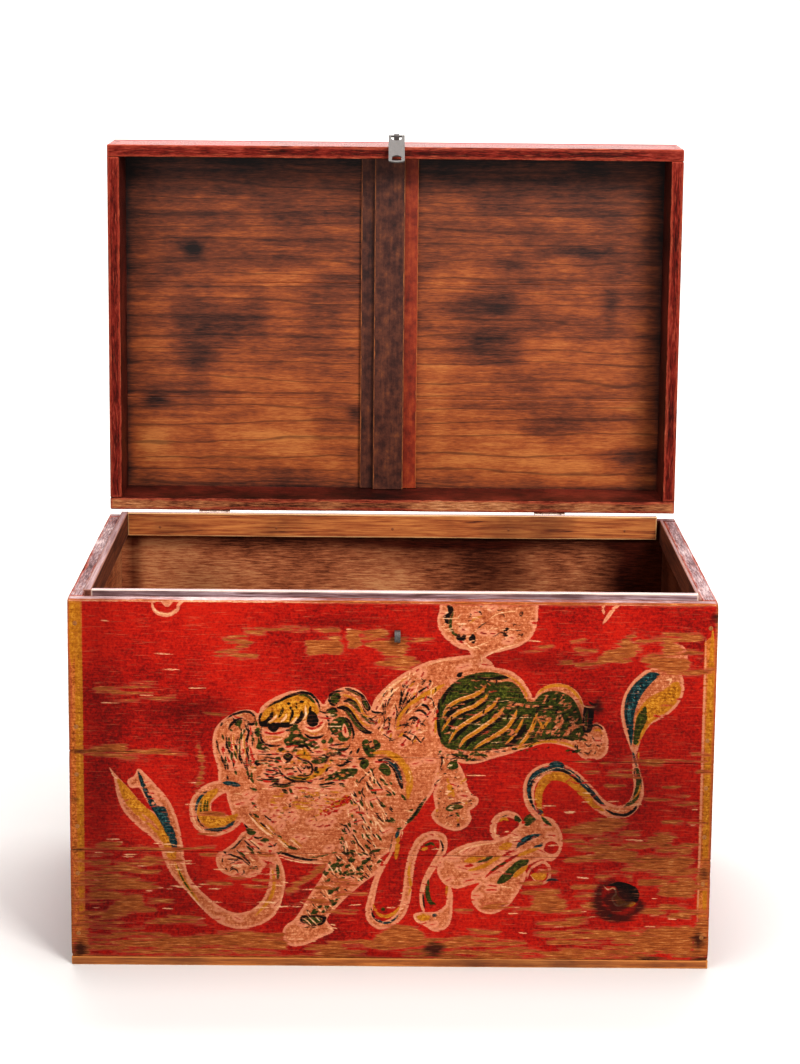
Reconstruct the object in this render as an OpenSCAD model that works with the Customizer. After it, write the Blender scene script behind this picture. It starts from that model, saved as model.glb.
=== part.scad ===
// Painted wooden trunk with a hinged lid, shown open.
// The origin is the centre of the underside; +X is right, +Y is the back, +Z is up.
// The lid and its hasp are drawn shut and then turned about the hinge pins.

/* [Box] */
// Width from side to side, of the box and of the lid
body_w = 680; // [500:1:900]
// Depth from front to back, of the box and of the lid
body_d = 438; // [360:1:600]
// Height of the box, from the floor to the top edge of its walls
body_h = 401; // [340:1:560]
// Thickness of the box walls
wall_t = 15.5; // [13:0.5:22]
// Thickness of the bottom boards
bottom_t = 9; // [7:0.5:14]
// Width of the lowest plank of the front at its left end
front_low_w = 119; // [90:1:140]
// How much narrower it is at its right end
front_low_taper = 7; // [0:0.5:12]
// Width of the middle plank of the front at its left end
front_mid_w = 109; // [80:0.5:120]
// How much narrower it is at its right end
front_mid_taper = 3; // [0:0.5:8]
// Width of the lower plank of the back and of each side
side_low_w = 200; // [120:1:240]
// Width of the front one of the two bottom boards
bottom_front_w = 226; // [150:1:280]

/* [Lip round the inside of the mouth] */
// Thickness of the front, back and left liner strips
liner_t = 8; // [6:0.5:12]
// Thickness of the thinner right liner strip
liner_right_t = 4; // [3:0.5:8]
// Height of every liner strip
liner_h = 28; // [20:1:40]
// How far the front, back and left strips stand above the walls
lip_h = 6.5; // [3:0.5:10]
// How far the right strip stands above the wall
lip_right_h = 1.5; // [0:0.5:6]
// Space left between the back strip's right end and the right strip
liner_back_short = 4; // [0:0.5:12]

/* [Lid] */
// Overall height of the lid
lid_h = 88; // [70:1:120]
// Thickness of the lid's walls
lid_wall_t = 14.5; // [12:0.5:20]
// Thickness of the boards of the lid's top
lid_board_t = 11; // [8:0.5:15]
// Width of the front board of the lid's top
lid_board_front_w = 171; // [120:1:200]
// Width of the middle board of the lid's top
lid_board_mid_w = 142; // [90:1:150]
// Space between the lid's rim and the box walls when shut
seam_gap = 1.6; // [1:0.1:3]
// How far the lid stands open
lid_open = 90; // [75:1:95]

/* [Batten inside the lid] */
// Distance of the batten's middle from the trunk's middle, to the right
batten_x = -6; // [-60:1:60]
// Overall width of the batten
batten_w = 69; // [50:1:100]
// Width of its raised middle
batten_mid_w = 36.5; // [20:0.5:48]
// Thickness of its raised middle
batten_t = 14; // [13:0.5:20]
// Thickness where a sloping side meets the raised middle
batten_shoulder_t = 12; // [9:0.5:12.5]
// Thickness at its outer edges
batten_edge_t = 5; // [3:0.5:8]

/* [Hinges] */
// Length of a hinge
hinge_len = 37; // [30:1:60]
// Distance of the left hinge's middle from the trunk's middle
hinge_left_x = -214.5; // [-230:0.5:-150]
// Distance of the right hinge's middle from the trunk's middle
hinge_right_x = 189.5; // [150:0.5:230]
// Outer radius of the knuckles
knuckle_r = 3.8; // [3.4:0.1:5]
// Radius of the hinge pins
hinge_pin_r = 1.6; // [1.2:0.1:1.8]
// Thickness of the hinge leaves
leaf_t = 1.6; // [1.2:0.1:2]
// Height of a hinge leaf, from the pin's axis
leaf_h = 24; // [18:1:32]
// Length of each of the two outer knuckles
outer_knuckle_len = 9.4; // [6:0.1:10]
// Distance of the screws from the hinge's middle
hinge_screw_x = 11; // [8:0.5:13]

/* [Hasp] */
// Distance of the hasp's middle from the trunk's middle, to the right
hasp_x = 1; // [-20:0.5:20]
// Height of the strap's pivot above the lid's rim
hasp_pivot_up = 27; // [24:0.5:32]
// Distance of the strap's pivot in front of the lid
hasp_pivot_out = 10.8; // [10:0.1:14]
// Length of the strap, from the pivot to the tip
strap_len = 76.5; // [72:0.5:80]
// Width of the strap
strap_w = 19; // [17:0.5:24]
// Thickness of the strap
strap_t = 1.5; // [1:0.1:2]
// Radius of the strap's pivot bar
strap_bar_r = 1.3; // [1:0.1:1.6]
// Radius of the strap's rounded tip
strap_tip_r = 14; // [12:0.5:24]
// Width of the opening next to the pivot bar
strap_eye_w = 12.5; // [10:0.5:13]
// Length of the opening next to the pivot bar
strap_eye_h = 14; // [12:0.5:16]
// Width of the slot near the tip
strap_slot_w = 10.7; // [9:0.1:11.5]
// Length of the slot near the tip
strap_slot_h = 14; // [13:0.5:15]
// Distance of the slot's flat end from the tip
strap_slot_margin = 5; // [4:0.5:6]

/* [Staples] */
// Width of the metal strip of both staples
strip_w = 6.2; // [4:0.1:7]
// Thickness of the metal strip
strip_t = 1.4; // [1:0.1:1.8]
// Distance of the box staple from the trunk's middle, to the right
staple_x = 4.8; // [-20:0.1:20]
// Distance of the box staple's middle below the top edge of the front
staple_drop = 37; // [32:0.5:42]
// Height of the box staple
staple_h = 12.5; // [10:0.5:13]
// How far the box staple stands out from the front
staple_out = 8.5; // [7.5:0.1:8.6]
// Depth of the staples' legs in the wood
staple_root = 11; // [8:0.5:12]

/* [Nails and screws] */
// Length of the nails that hold the walls, the bottom and the lid's corners
nail_len = 27; // [25:1:30]
// Length of the nails that hold the lid's top boards
lid_nail_len = 22; // [20:1:22]
// Radius of a nail's shank
nail_r = 1.2; // [0.8:0.1:1.5]
// Radius of a nail's head
nail_head_r = 2.6; // [2:0.1:3.2]
// Thickness of a nail's head
nail_head_t = 0.8; // [0.5:0.1:1.2]
// How far the nail heads are sunk into the wood
nail_sink = 0.3; // [0.1:0.1:0.8]
// Distance of a wall nail from the edges of its plank
nail_edge = 26; // [18:1:30]
// Height of the lower nail of a lid corner above the rim
lid_nail_low = 19; // [12:1:24]
// Height of the upper nail of a lid corner above the rim
lid_nail_high = 51; // [36:1:54]
// Distance of the first nail in a row from the corner of the trunk
row_end = 62; // [45:1:80]
// Nails in each row along the front and the back
row_long_count = 5; // [3:1:7]
// Nails in each row along a side
row_short_count = 3; // [2:1:4]
// Length of the brads that hold the liner
brad_len = 17; // [14:0.5:17]
// Radius of a brad's shank
brad_r = 0.8; // [0.6:0.1:1]
// Radius of a brad's head
brad_head_r = 1.6; // [1.3:0.1:2]
// Length of the hinge screws
screw_len = 12; // [9:0.5:12.5]
// Radius of a hinge screw's shank
screw_r = 1.5; // [1.2:0.1:1.8]
// Radius of a hinge screw's head
screw_head_r = 3; // [2.4:0.1:3.4]
// Width of the slot in a screw's head
screw_slot_w = 0.8; // [0.6:0.1:1]
// Distance of the left empty nail hole from the trunk's middle
old_hole_left_x = -8.3; // [-14:0.1:-6]
// Distance of the right empty nail hole from the trunk's middle
old_hole_right_x = 4.5; // [0:0.1:12]
// Distance of the empty nail holes below the top edge of the front
old_hole_drop = 18; // [14:0.5:22]
// Radius of the two empty nail holes in the front
old_hole_r = 1.6; // [1:0.1:2.4]
// Depth of the two empty nail holes
old_hole_depth = 9; // [4:0.5:11]

/* [Clearances] */
// Radial clearance of a hinge pin in its knuckles
pin_fit = 0.05; // [0.02:0.01:0.1]
// Clearance of nails, screws and staple legs in their holes
hole_fit = 0.1; // [0.05:0.05:0.2]
// Clearance between pieces that move past each other
run_gap = 0.3; // [0.3:0.05:0.5]
// Space between the knuckles of one hinge
knuckle_gap = 0.5; // [0.3:0.1:0.8]
// Play of the strap's bar in its staple
bar_play = 0.4; // [0.3:0.05:0.6]
// Space at each end of the batten
batten_end_gap = 0.5; // [0.2:0.1:2]

/* [Hidden] */
$fn = 48;
// Overshoot of a cutting solid past the face that it cuts
eps = 0.5;

half_w = body_w / 2;
half_d = body_d / 2;
rim_z = body_h + seam_gap;
lid_side_h = lid_h - lid_board_t;
// Heights of the front's edges and seams at the left end and at the right end
front_floor = [bottom_t, bottom_t];
front_seam_low = front_floor + [front_low_w, front_low_w - front_low_taper];
front_seam_high = front_seam_low + [front_mid_w, front_mid_w - front_mid_taper];
front_rim = [body_h, body_h];
side_seam = bottom_t + side_low_w;
pin_y = half_d + knuckle_r + run_gap;
pin_z = body_h + seam_gap / 2;
mid_knuckle_len = hinge_len - 2 * outer_knuckle_len - 2 * knuckle_gap;
leaf_start = knuckle_r + run_gap;
screw_up = (leaf_start + leaf_h) / 2;
// The open strap leans on the front edge of the lid's rim
strap_reach = norm([hasp_pivot_up, hasp_pivot_out]);
strap_lean = acos((strap_t / 2 + run_gap) / strap_reach) - atan(hasp_pivot_up / hasp_pivot_out);
loop_r = strap_bar_r + bar_play;

red = "#9c2416";
worn_red = "#7d2a24";
wood = "#9a5426";
dark_wood = "#6b3a22";
iron = "#6f6b64";

// Turns what is drawn shut about the hinge pins, to where the lid stands open
module opened() {
    translate([0, pin_y, pin_z]) rotate([-lid_open, 0, 0]) translate([0, -pin_y, -pin_z]) children();
}

// A nail driven along +Z into wood whose face is at the origin
module nail(len, r, head_r, head_t) {
    translate([0, 0, nail_sink]) {
        cylinder(h = head_t, r = head_r);
        cylinder(h = len - nail_sink, r = r);
    }
}

module nail_hole(len, r, head_r, head_t) {
    translate([0, 0, -eps])
        cylinder(h = eps + nail_sink + head_t + hole_fit, r = head_r + hole_fit);
    cylinder(h = len + hole_fit, r = r + hole_fit);
}

module wall_nail() { nail(nail_len, nail_r, nail_head_r, nail_head_t); }
module wall_nail_hole() { nail_hole(nail_len, nail_r, nail_head_r, nail_head_t); }
module lid_nail() { nail(lid_nail_len, nail_r, nail_head_r, nail_head_t); }
module lid_nail_hole() { nail_hole(lid_nail_len, nail_r, nail_head_r, nail_head_t); }
module brad() { nail(brad_len, brad_r, brad_head_r, nail_head_t); }
module brad_hole() { nail_hole(brad_len, brad_r, brad_head_r, nail_head_t); }

// Heights of the nails in each plank of a wall, near its lower and upper edges
function plank_nail_z(low, high) = [low + nail_edge * [1, 1], high - nail_edge * [1, 1]];
front_nail_z = concat(plank_nail_z(front_floor, front_seam_low),
                      plank_nail_z(front_seam_low, front_seam_high),
                      plank_nail_z(front_seam_high, front_rim));
back_nail_z = [bottom_t + nail_edge, side_seam - nail_edge, side_seam + nail_edge, body_h - nail_edge];

// The front nails go through the front into the ends of the sides
module front_nail_places() {
    for (end = [0, 1], z = front_nail_z)
        translate([(2 * end - 1) * (half_w - wall_t / 2), -half_d, z[end]]) rotate([-90, 0, 0])
            children();
}

module back_nail_places() {
    for (side = [-1, 1], z = back_nail_z)
        translate([side * (half_w - wall_t / 2), half_d, z]) rotate([90, 0, 0]) children();
}

// Places in rows round a rectangle of walls of the given thickness
module wall_row_places(t) {
    for (side = [-1, 1], i = [0 : row_long_count - 1])
        translate([-half_w + row_end + i * (body_w - 2 * row_end) / (row_long_count - 1),
                   side * (half_d - t / 2), 0]) children();
    for (side = [-1, 1], i = [0 : row_short_count - 1])
        translate([side * (half_w - t / 2),
                   -half_d + row_end + i * (body_d - 2 * row_end) / (row_short_count - 1), 0]) children();
}

module bottom_nail_places() { wall_row_places(wall_t) children(); }

// Brads go through the liner into the walls, halfway up the part that lies against them
module liner_brad_places() {
    z = body_h - (liner_h - lip_h) / 2;
    for (i = [0 : row_long_count - 1]) {
        x = -half_w + row_end + i * (body_w - 2 * row_end) / (row_long_count - 1);
        translate([x, -half_d + wall_t + liner_t, z]) rotate([90, 0, 0]) children();
        translate([x, half_d - wall_t - liner_t, z]) rotate([-90, 0, 0]) children();
    }
    for (i = [0 : row_short_count - 1]) {
        y = -half_d + row_end + i * (body_d - 2 * row_end) / (row_short_count - 1);
        translate([-half_w + wall_t + liner_t, y, z]) rotate([0, -90, 0]) children();
        translate([half_w - wall_t - liner_right_t, y, z]) rotate([0, 90, 0]) children();
    }
}

// A countersunk screw along +Z, its head's flat face at the origin, with a slot
module screw() {
    difference() {
        union() {
            cylinder(h = leaf_t, r1 = screw_head_r, r2 = screw_r);
            cylinder(h = screw_len, r = screw_r);
        }
        translate([-screw_head_r - eps, -screw_slot_w / 2, -eps])
            cube([2 * screw_head_r + 2 * eps, screw_slot_w, leaf_t / 2 + eps]);
    }
}

module screw_hole() {
    cylinder(h = leaf_t, r1 = screw_head_r + hole_fit, r2 = screw_r + hole_fit);
    translate([0, 0, -eps]) cylinder(h = eps, r = screw_head_r + hole_fit);
    cylinder(h = screw_len + hole_fit, r = screw_r + hole_fit);
}

// Two screws in each leaf, below the pin's axis in the box and above it in the lid
module hinge_screw_places(up) {
    for (hinge = [hinge_left_x, hinge_right_x], side = [-1, 1])
        translate([hinge + side * hinge_screw_x, half_d + leaf_t, pin_z + up * screw_up])
            rotate([90, 0, 0]) children();
}

// A strip bent into a U, its legs running into the wood; the loop opens along X
module strip_loop(h, out) {
    rotate([90, 0, -90]) linear_extrude(strip_w, center = true) difference() {
        loop_outline(h / 2, out);
        loop_outline(h / 2 - strip_t, out - strip_t);
    }
}

module loop_outline(r, out) {
    translate([out - r, 0]) circle(r);
    translate([-staple_root, -r]) square([out - r + staple_root, 2 * r]);
}

// Slots in the wood for the two legs of a staple
module leg_slots(h) {
    for (side = [-1, 1])
        translate([-strip_w / 2 - hole_fit, -eps, side * (h - strip_t) / 2 - strip_t / 2 - hole_fit])
            cube([strip_w + 2 * hole_fit, staple_root + eps + hole_fit, strip_t + 2 * hole_fit]);
}

module at_box_staple() { translate([staple_x, -half_d, body_h - staple_drop]) children(); }
module at_lid_staple() { translate([hasp_x, -half_d, rim_z + hasp_pivot_up]) children(); }
lid_staple_h = 2 * (loop_r + strip_t);

// A board with one corner at the given place
module board(x, y, z, w, d, h) { translate([x, y, z]) cube([w, d, h]); }

// A plank of the front, between two pairs of heights, each at the left end and at the right end
module front_plank(low, high) {
    color(red) difference() {
        translate([0, -half_d + wall_t, 0]) rotate([90, 0, 0]) linear_extrude(wall_t)
            polygon([[-half_w, low[0]], [half_w, low[1]], [half_w, high[1]], [-half_w, high[0]]]);
        front_nail_places() wall_nail_hole();
        bottom_nail_places() wall_nail_hole();
        liner_brad_places() brad_hole();
        at_box_staple() leg_slots(staple_h);
        old_nail_holes();
    }
}

// Two holes left by an older staple, above the present one
module old_nail_holes() {
    for (x = [old_hole_left_x, old_hole_right_x])
        translate([x, -half_d - eps, body_h - old_hole_drop]) rotate([-90, 0, 0])
            cylinder(h = old_hole_depth + eps, r = old_hole_r);
}

module back_plank(low, high) {
    color(red) difference() {
        board(-half_w, half_d - wall_t, low, body_w, wall_t, high - low);
        back_nail_places() wall_nail_hole();
        bottom_nail_places() wall_nail_hole();
        liner_brad_places() brad_hole();
        hinge_screw_places(-1) screw_hole();
    }
}

module side_plank(side, low, high) {
    color(red) difference() {
        board(side < 0 ? -half_w : half_w - wall_t, -half_d + wall_t, low,
              wall_t, body_d - 2 * wall_t, high - low);
        front_nail_places() wall_nail_hole();
        back_nail_places() wall_nail_hole();
        bottom_nail_places() wall_nail_hole();
        liner_brad_places() brad_hole();
    }
}

module bottom_board(y, w) {
    color(wood) difference() {
        board(-half_w, y, 0, body_w, w, bottom_t);
        bottom_nail_places() wall_nail_hole();
    }
}

module front_plank_low() { front_plank(front_floor, front_seam_low); }
module front_plank_middle() { front_plank(front_seam_low, front_seam_high); }
module front_plank_top() { front_plank(front_seam_high, front_rim); }
module back_plank_low() { back_plank(bottom_t, side_seam); }
module back_plank_top() { back_plank(side_seam, body_h); }
module left_plank_low() { side_plank(-1, bottom_t, side_seam); }
module left_plank_top() { side_plank(-1, side_seam, body_h); }
module right_plank_low() { side_plank(1, bottom_t, side_seam); }
module right_plank_top() { side_plank(1, side_seam, body_h); }
module bottom_board_front() { bottom_board(-half_d, bottom_front_w); }
module bottom_board_back() { bottom_board(-half_d + bottom_front_w, body_d - bottom_front_w); }

// The liner strips stand inside the walls; the lid fits over their upper edge
module liner_strip(x, y, w, d, lift) {
    color(dark_wood) difference() {
        board(x, y, body_h + lift - liner_h, w, d, liner_h);
        liner_brad_places() brad_hole();
    }
}

inner_left = -half_w + wall_t;
inner_right = half_w - wall_t;
inner_front = -half_d + wall_t;
inner_back = half_d - wall_t;

module liner_left() { liner_strip(inner_left, inner_front, liner_t, inner_back - inner_front, lip_h); }

module liner_right() {
    liner_strip(inner_right - liner_right_t, inner_front, liner_right_t, inner_back - inner_front,
                lip_right_h);
}

module liner_front() {
    liner_strip(inner_left + liner_t, inner_front,
                inner_right - liner_right_t - inner_left - liner_t, liner_t, lip_h);
}

module liner_back() {
    liner_strip(inner_left + liner_t, inner_back - liner_t,
                inner_right - liner_right_t - liner_back_short - inner_left - liner_t, liner_t, lip_h);
}

// One knuckle of a hinge, along X from the given place, without its bore
module knuckle(x, len) {
    translate([x, pin_y, pin_z]) rotate([0, 90, 0]) cylinder(h = len, r = knuckle_r);
}

// The part of a leaf that curls round into a knuckle; up is 1 in the lid and -1 in the box
module knuckle_web(x, len, up) {
    board(x, half_d, up > 0 ? pin_z : pin_z - leaf_start - eps, len, leaf_t, leaf_start + eps);
}

module leaf_plate(middle, up) {
    board(middle - hinge_len / 2, half_d, up > 0 ? pin_z + leaf_start : pin_z - leaf_h,
          hinge_len, leaf_t, leaf_h - leaf_start);
}

module pin_bore(middle) {
    translate([middle - hinge_len / 2 - eps, pin_y, pin_z]) rotate([0, 90, 0])
        cylinder(h = hinge_len + 2 * eps, r = hinge_pin_r + pin_fit);
}

// The box leaf carries the two outer knuckles
module hinge_leaf_box(middle) {
    color(iron) difference() {
        union() {
            leaf_plate(middle, -1);
            for (x = [middle - hinge_len / 2, middle + hinge_len / 2 - outer_knuckle_len]) {
                knuckle(x, outer_knuckle_len);
                knuckle_web(x, outer_knuckle_len, -1);
            }
        }
        pin_bore(middle);
        hinge_screw_places(-1) screw_hole();
    }
}

// The lid leaf carries the middle knuckle
module hinge_leaf_lid(middle) {
    color(iron) opened() difference() {
        union() {
            leaf_plate(middle, 1);
            knuckle(middle - mid_knuckle_len / 2, mid_knuckle_len);
            knuckle_web(middle - mid_knuckle_len / 2, mid_knuckle_len, 1);
        }
        pin_bore(middle);
        hinge_screw_places(1) screw_hole();
    }
}

module hinge_pin(middle) {
    color(iron) translate([middle - hinge_len / 2, pin_y, pin_z]) rotate([0, 90, 0])
        cylinder(h = hinge_len, r = hinge_pin_r);
}

module hinge_leaf_box_left() { hinge_leaf_box(hinge_left_x); }
module hinge_leaf_box_right() { hinge_leaf_box(hinge_right_x); }
module hinge_leaf_lid_left() { hinge_leaf_lid(hinge_left_x); }
module hinge_leaf_lid_right() { hinge_leaf_lid(hinge_right_x); }
module hinge_pin_left() { hinge_pin(hinge_left_x); }
module hinge_pin_right() { hinge_pin(hinge_right_x); }

module box_staple() { color(iron) at_box_staple() strip_loop(staple_h, staple_out); }

module lid_staple() {
    color(iron) opened() at_lid_staple()
        strip_loop(lid_staple_h, hasp_pivot_out + lid_staple_h / 2);
}

module front_nails() { color(iron) front_nail_places() wall_nail(); }
module back_nails() { color(iron) back_nail_places() wall_nail(); }
module bottom_nails() { color(iron) bottom_nail_places() wall_nail(); }
module liner_brads() { color(iron) liner_brad_places() brad(); }
module hinge_screws_box() { color(iron) hinge_screw_places(-1) screw(); }
module hinge_screws_lid() { color(iron) opened() hinge_screw_places(1) screw(); }

// The lid's front and back are nailed over the ends of its sides
module lid_corner_nail_places() {
    for (side = [-1, 1], end = [-1, 1], z = [lid_nail_low, lid_nail_high])
        translate([side * (half_w - lid_wall_t / 2), end * half_d, rim_z + z])
            rotate([90 * end, 0, 0]) children();
}

// The top boards are nailed down on the walls and on the batten
module lid_top_nail_places() {
    translate([0, 0, rim_z + lid_h]) rotate([180, 0, 0]) {
        wall_row_places(lid_wall_t) children();
        for (side = [-1, 1], i = [0 : row_short_count - 1])
            translate([batten_x + side * batten_mid_w / 3,
                       -half_d + row_end + i * (body_d - 2 * row_end) / (row_short_count - 1), 0])
                children();
    }
}

module lid_corner_nails() { color(iron) opened() lid_corner_nail_places() wall_nail(); }
module lid_top_nails() { color(iron) opened() lid_top_nail_places() lid_nail(); }

module lid_front() {
    color(red) opened() difference() {
        board(-half_w, -half_d, rim_z, body_w, lid_wall_t, lid_side_h);
        lid_corner_nail_places() wall_nail_hole();
        lid_top_nail_places() lid_nail_hole();
        at_lid_staple() leg_slots(lid_staple_h);
    }
}

module lid_back() {
    color(red) opened() difference() {
        board(-half_w, half_d - lid_wall_t, rim_z, body_w, lid_wall_t, lid_side_h);
        lid_corner_nail_places() wall_nail_hole();
        lid_top_nail_places() lid_nail_hole();
        hinge_screw_places(1) screw_hole();
    }
}

module lid_side(side) {
    color(worn_red) opened() difference() {
        board(side < 0 ? -half_w : half_w - lid_wall_t, -half_d + lid_wall_t, rim_z,
              lid_wall_t, body_d - 2 * lid_wall_t, lid_side_h);
        lid_corner_nail_places() wall_nail_hole();
        lid_top_nail_places() lid_nail_hole();
    }
}

module lid_left() { lid_side(-1); }
module lid_right() { lid_side(1); }

// The boards of the lid's top run from side to side, over the walls
module lid_board(y, w) {
    color(wood) opened() difference() {
        board(-half_w, y, rim_z + lid_side_h, body_w, w, lid_board_t);
        lid_top_nail_places() lid_nail_hole();
    }
}

lid_seam_front = -half_d + lid_board_front_w;
lid_seam_back = lid_seam_front + lid_board_mid_w;

module lid_board_front() { lid_board(-half_d, lid_board_front_w); }
module lid_board_middle() { lid_board(lid_seam_front, lid_board_mid_w); }
module lid_board_back() { lid_board(lid_seam_back, half_d - lid_seam_back); }

// A batten with a raised middle and sloping sides, across the underside of the boards
module lid_batten() {
    run = body_d - 2 * lid_wall_t - 2 * batten_end_gap;
    color(dark_wood) opened() difference() {
        translate([batten_x, run / 2, rim_z + lid_side_h]) rotate([90, 0, 0]) linear_extrude(run)
            polygon([[-batten_w / 2, 0], [-batten_w / 2, -batten_edge_t],
                     [-batten_mid_w / 2, -batten_shoulder_t], [-batten_mid_w / 2, -batten_t],
                     [batten_mid_w / 2, -batten_t], [batten_mid_w / 2, -batten_shoulder_t],
                     [batten_w / 2, -batten_edge_t], [batten_w / 2, 0]]);
        lid_top_nail_places() lid_nail_hole();
    }
}

// The strap hanging down from its pivot bar, which lies along X at the origin
module strap_shape() {
    rotate([90, 0, 0]) linear_extrude(strap_t, center = true) difference() {
        union() {
            translate([-strap_w / 2, -strap_len + strap_tip_r]) square([strap_w, strap_len - strap_tip_r]);
            intersection() {
                translate([0, -strap_len + strap_tip_r]) circle(strap_tip_r);
                translate([-strap_w / 2, -strap_len]) square([strap_w, 2 * strap_tip_r]);
            }
        }
        strap_opening(strap_eye_w, -eps, -strap_eye_h);
        translate([0, -strap_len + strap_slot_margin]) mirror([0, 1])
            strap_opening(strap_slot_w, 0, -strap_slot_h);
    }
    rotate([0, 90, 0]) cylinder(h = strap_w, r = strap_bar_r, center = true);
}

// An opening with one square end and one round end, from one height down to another
module strap_opening(w, from, to) {
    translate([0, to + w / 2]) circle(w / 2);
    translate([-w / 2, to + w / 2]) square([w, from + eps - to - w / 2]);
}

module hasp_strap() {
    color(iron) opened() translate([hasp_x, -half_d - hasp_pivot_out, rim_z + hasp_pivot_up])
        rotate([strap_lean, 0, 0]) strap_shape();
}

front_plank_low();
front_plank_middle();
front_plank_top();
back_plank_low();
back_plank_top();
left_plank_low();
left_plank_top();
right_plank_low();
right_plank_top();
bottom_board_front();
bottom_board_back();
liner_front();
liner_back();
liner_left();
liner_right();
hinge_leaf_box_left();
hinge_leaf_box_right();
hinge_pin_left();
hinge_pin_right();
box_staple();
front_nails();
back_nails();
bottom_nails();
liner_brads();
hinge_screws_box();
lid_front();
lid_back();
lid_left();
lid_right();
lid_board_front();
lid_board_middle();
lid_board_back();
lid_batten();
hinge_leaf_lid_left();
hinge_leaf_lid_right();
lid_staple();
lid_corner_nails();
lid_top_nails();
hinge_screws_lid();
hasp_strap();
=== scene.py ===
"""The looks of a painted wooden trunk with its lid open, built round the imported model.

Sizes are in millimetres unless a name says otherwise, in the model's own frame: +X to the right of the
painted front, +Y to the back, +Z up.
"""
import math

import bpy
import numpy as np
from mathutils import Matrix, Vector


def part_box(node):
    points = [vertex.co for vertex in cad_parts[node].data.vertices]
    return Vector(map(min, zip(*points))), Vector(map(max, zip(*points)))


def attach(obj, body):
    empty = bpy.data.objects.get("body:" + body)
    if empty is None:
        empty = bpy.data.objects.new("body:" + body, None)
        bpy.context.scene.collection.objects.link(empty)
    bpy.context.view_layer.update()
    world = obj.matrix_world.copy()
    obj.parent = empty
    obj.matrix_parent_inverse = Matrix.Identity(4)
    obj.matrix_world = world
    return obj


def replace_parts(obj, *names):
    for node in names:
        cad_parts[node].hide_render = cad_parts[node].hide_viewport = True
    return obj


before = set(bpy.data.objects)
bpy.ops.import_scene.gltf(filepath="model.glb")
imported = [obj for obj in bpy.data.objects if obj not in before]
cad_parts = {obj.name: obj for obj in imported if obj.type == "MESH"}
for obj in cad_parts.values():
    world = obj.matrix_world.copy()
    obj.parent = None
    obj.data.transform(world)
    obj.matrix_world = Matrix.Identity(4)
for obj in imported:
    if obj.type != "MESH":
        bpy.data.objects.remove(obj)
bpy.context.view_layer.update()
scene = bpy.context.scene

# The camera
# It stands where the photograph was taken from, found by fitting the trunk's own corners to it. The
# picture is 800 by 1064, and its optical axis meets it a little above the middle.
photo_w, photo_h = 800, 1064
focal_px, axis_row = 2658.0, 450.0
eye = Vector((-11.7, -2918.3, 1050.6)) / 1000
yaw, pitch, roll = math.radians(0.366), math.radians(-10.267), math.radians(0.551)
ahead = Vector((math.sin(yaw) * math.cos(pitch), math.cos(yaw) * math.cos(pitch), math.sin(pitch)))
level = ahead.cross(Vector((0, 0, 1))).normalized()
upright = level.cross(ahead)
right = level * math.cos(roll) + upright * math.sin(roll)
up = upright * math.cos(roll) - level * math.sin(roll)
lens = bpy.data.cameras.new("camera")
lens.lens = focal_px / photo_h * lens.sensor_width
lens.shift_y = (axis_row - photo_h / 2) / photo_h
camera = bpy.data.objects.new("camera", lens)
camera.matrix_world = Matrix.Translation(eye) @ Matrix((right, up, -ahead)).transposed().to_4x4()
scene.collection.objects.link(camera)
scene.camera = camera
scene.view_settings.view_transform = "Standard"
scene.view_settings.gamma = 0.8
scene.view_settings.exposure = -0.25


# The studio
# A pale floor runs up into a pale wall far behind the trunk. A large soft lamp stands high on the right, a
# wide one fills from the left, one hangs overhead, and one lights the wall.
def linear(colour):
    """The linear value of an sRGB hex colour, channel by channel."""
    srgb = np.array([int(colour[i:i + 2], 16) for i in (1, 3, 5)]) / 255
    return (*np.where(srgb <= 0.04045, srgb / 12.92, ((srgb + 0.055) / 1.055) ** 2.4), 1.0)


def add(tree, kind, values, out=0, stops=(), **settings):
    """Adds a node, sets it up, fills or links its sockets, and gives back one of its outputs."""
    node = tree.nodes.new("ShaderNode" + kind)
    for key, value in settings.items():
        setattr(node, key, value)
    for i, (place, colour) in enumerate(stops):
        stop = node.color_ramp.elements[i] if i < 2 else node.color_ramp.elements.new(place)
        stop.position, stop.color = place, linear(colour)
    for key, value in values.items():
        if isinstance(value, bpy.types.NodeSocket):
            tree.links.new(value, node.inputs[key])
        else:
            node.inputs[key].default_value = linear(value) if isinstance(value, str) else value
    return node.outputs[out] if node.outputs else None


def new_material(name):
    """An empty material, its node tree, and the place of the point being shaded, in metres."""
    made = bpy.data.materials.new(name)
    made.use_nodes = True
    made.node_tree.nodes.clear()
    return made, made.node_tree, add(made.node_tree, "TexCoord", {}, out="Object")


wall_y, floor_half, curve_r, wall_h = 3.6, 6.0, 1.2, 4.5
turn = np.linspace(0, math.pi / 2, 9)
sweep = np.concatenate([[[-4.5, 0]], np.stack([wall_y - curve_r + curve_r * np.sin(turn),
                                              curve_r - curve_r * np.cos(turn)], 1), [[wall_y, wall_h]]])
corners = [(side * floor_half, y, z) for y, z in sweep for side in (-1, 1)]
backdrop_mesh = bpy.data.meshes.new("backdrop")
strips = [(i, i + 1, i + 3, i + 2) for i in range(0, 2 * len(sweep) - 2, 2)]
backdrop_mesh.from_pydata(corners, [], strips)
backdrop_mesh.shade_smooth()
backdrop = bpy.data.objects.new("backdrop", backdrop_mesh)
scene.collection.objects.link(backdrop)
paper, tree, _ = new_material("matt_paper")
skin = add(tree, "BsdfPrincipled", {"Base Color": "#e2e0dc", "Roughness": 0.9})
add(tree, "OutputMaterial", {"Surface": skin})
backdrop_mesh.materials.append(paper)


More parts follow.
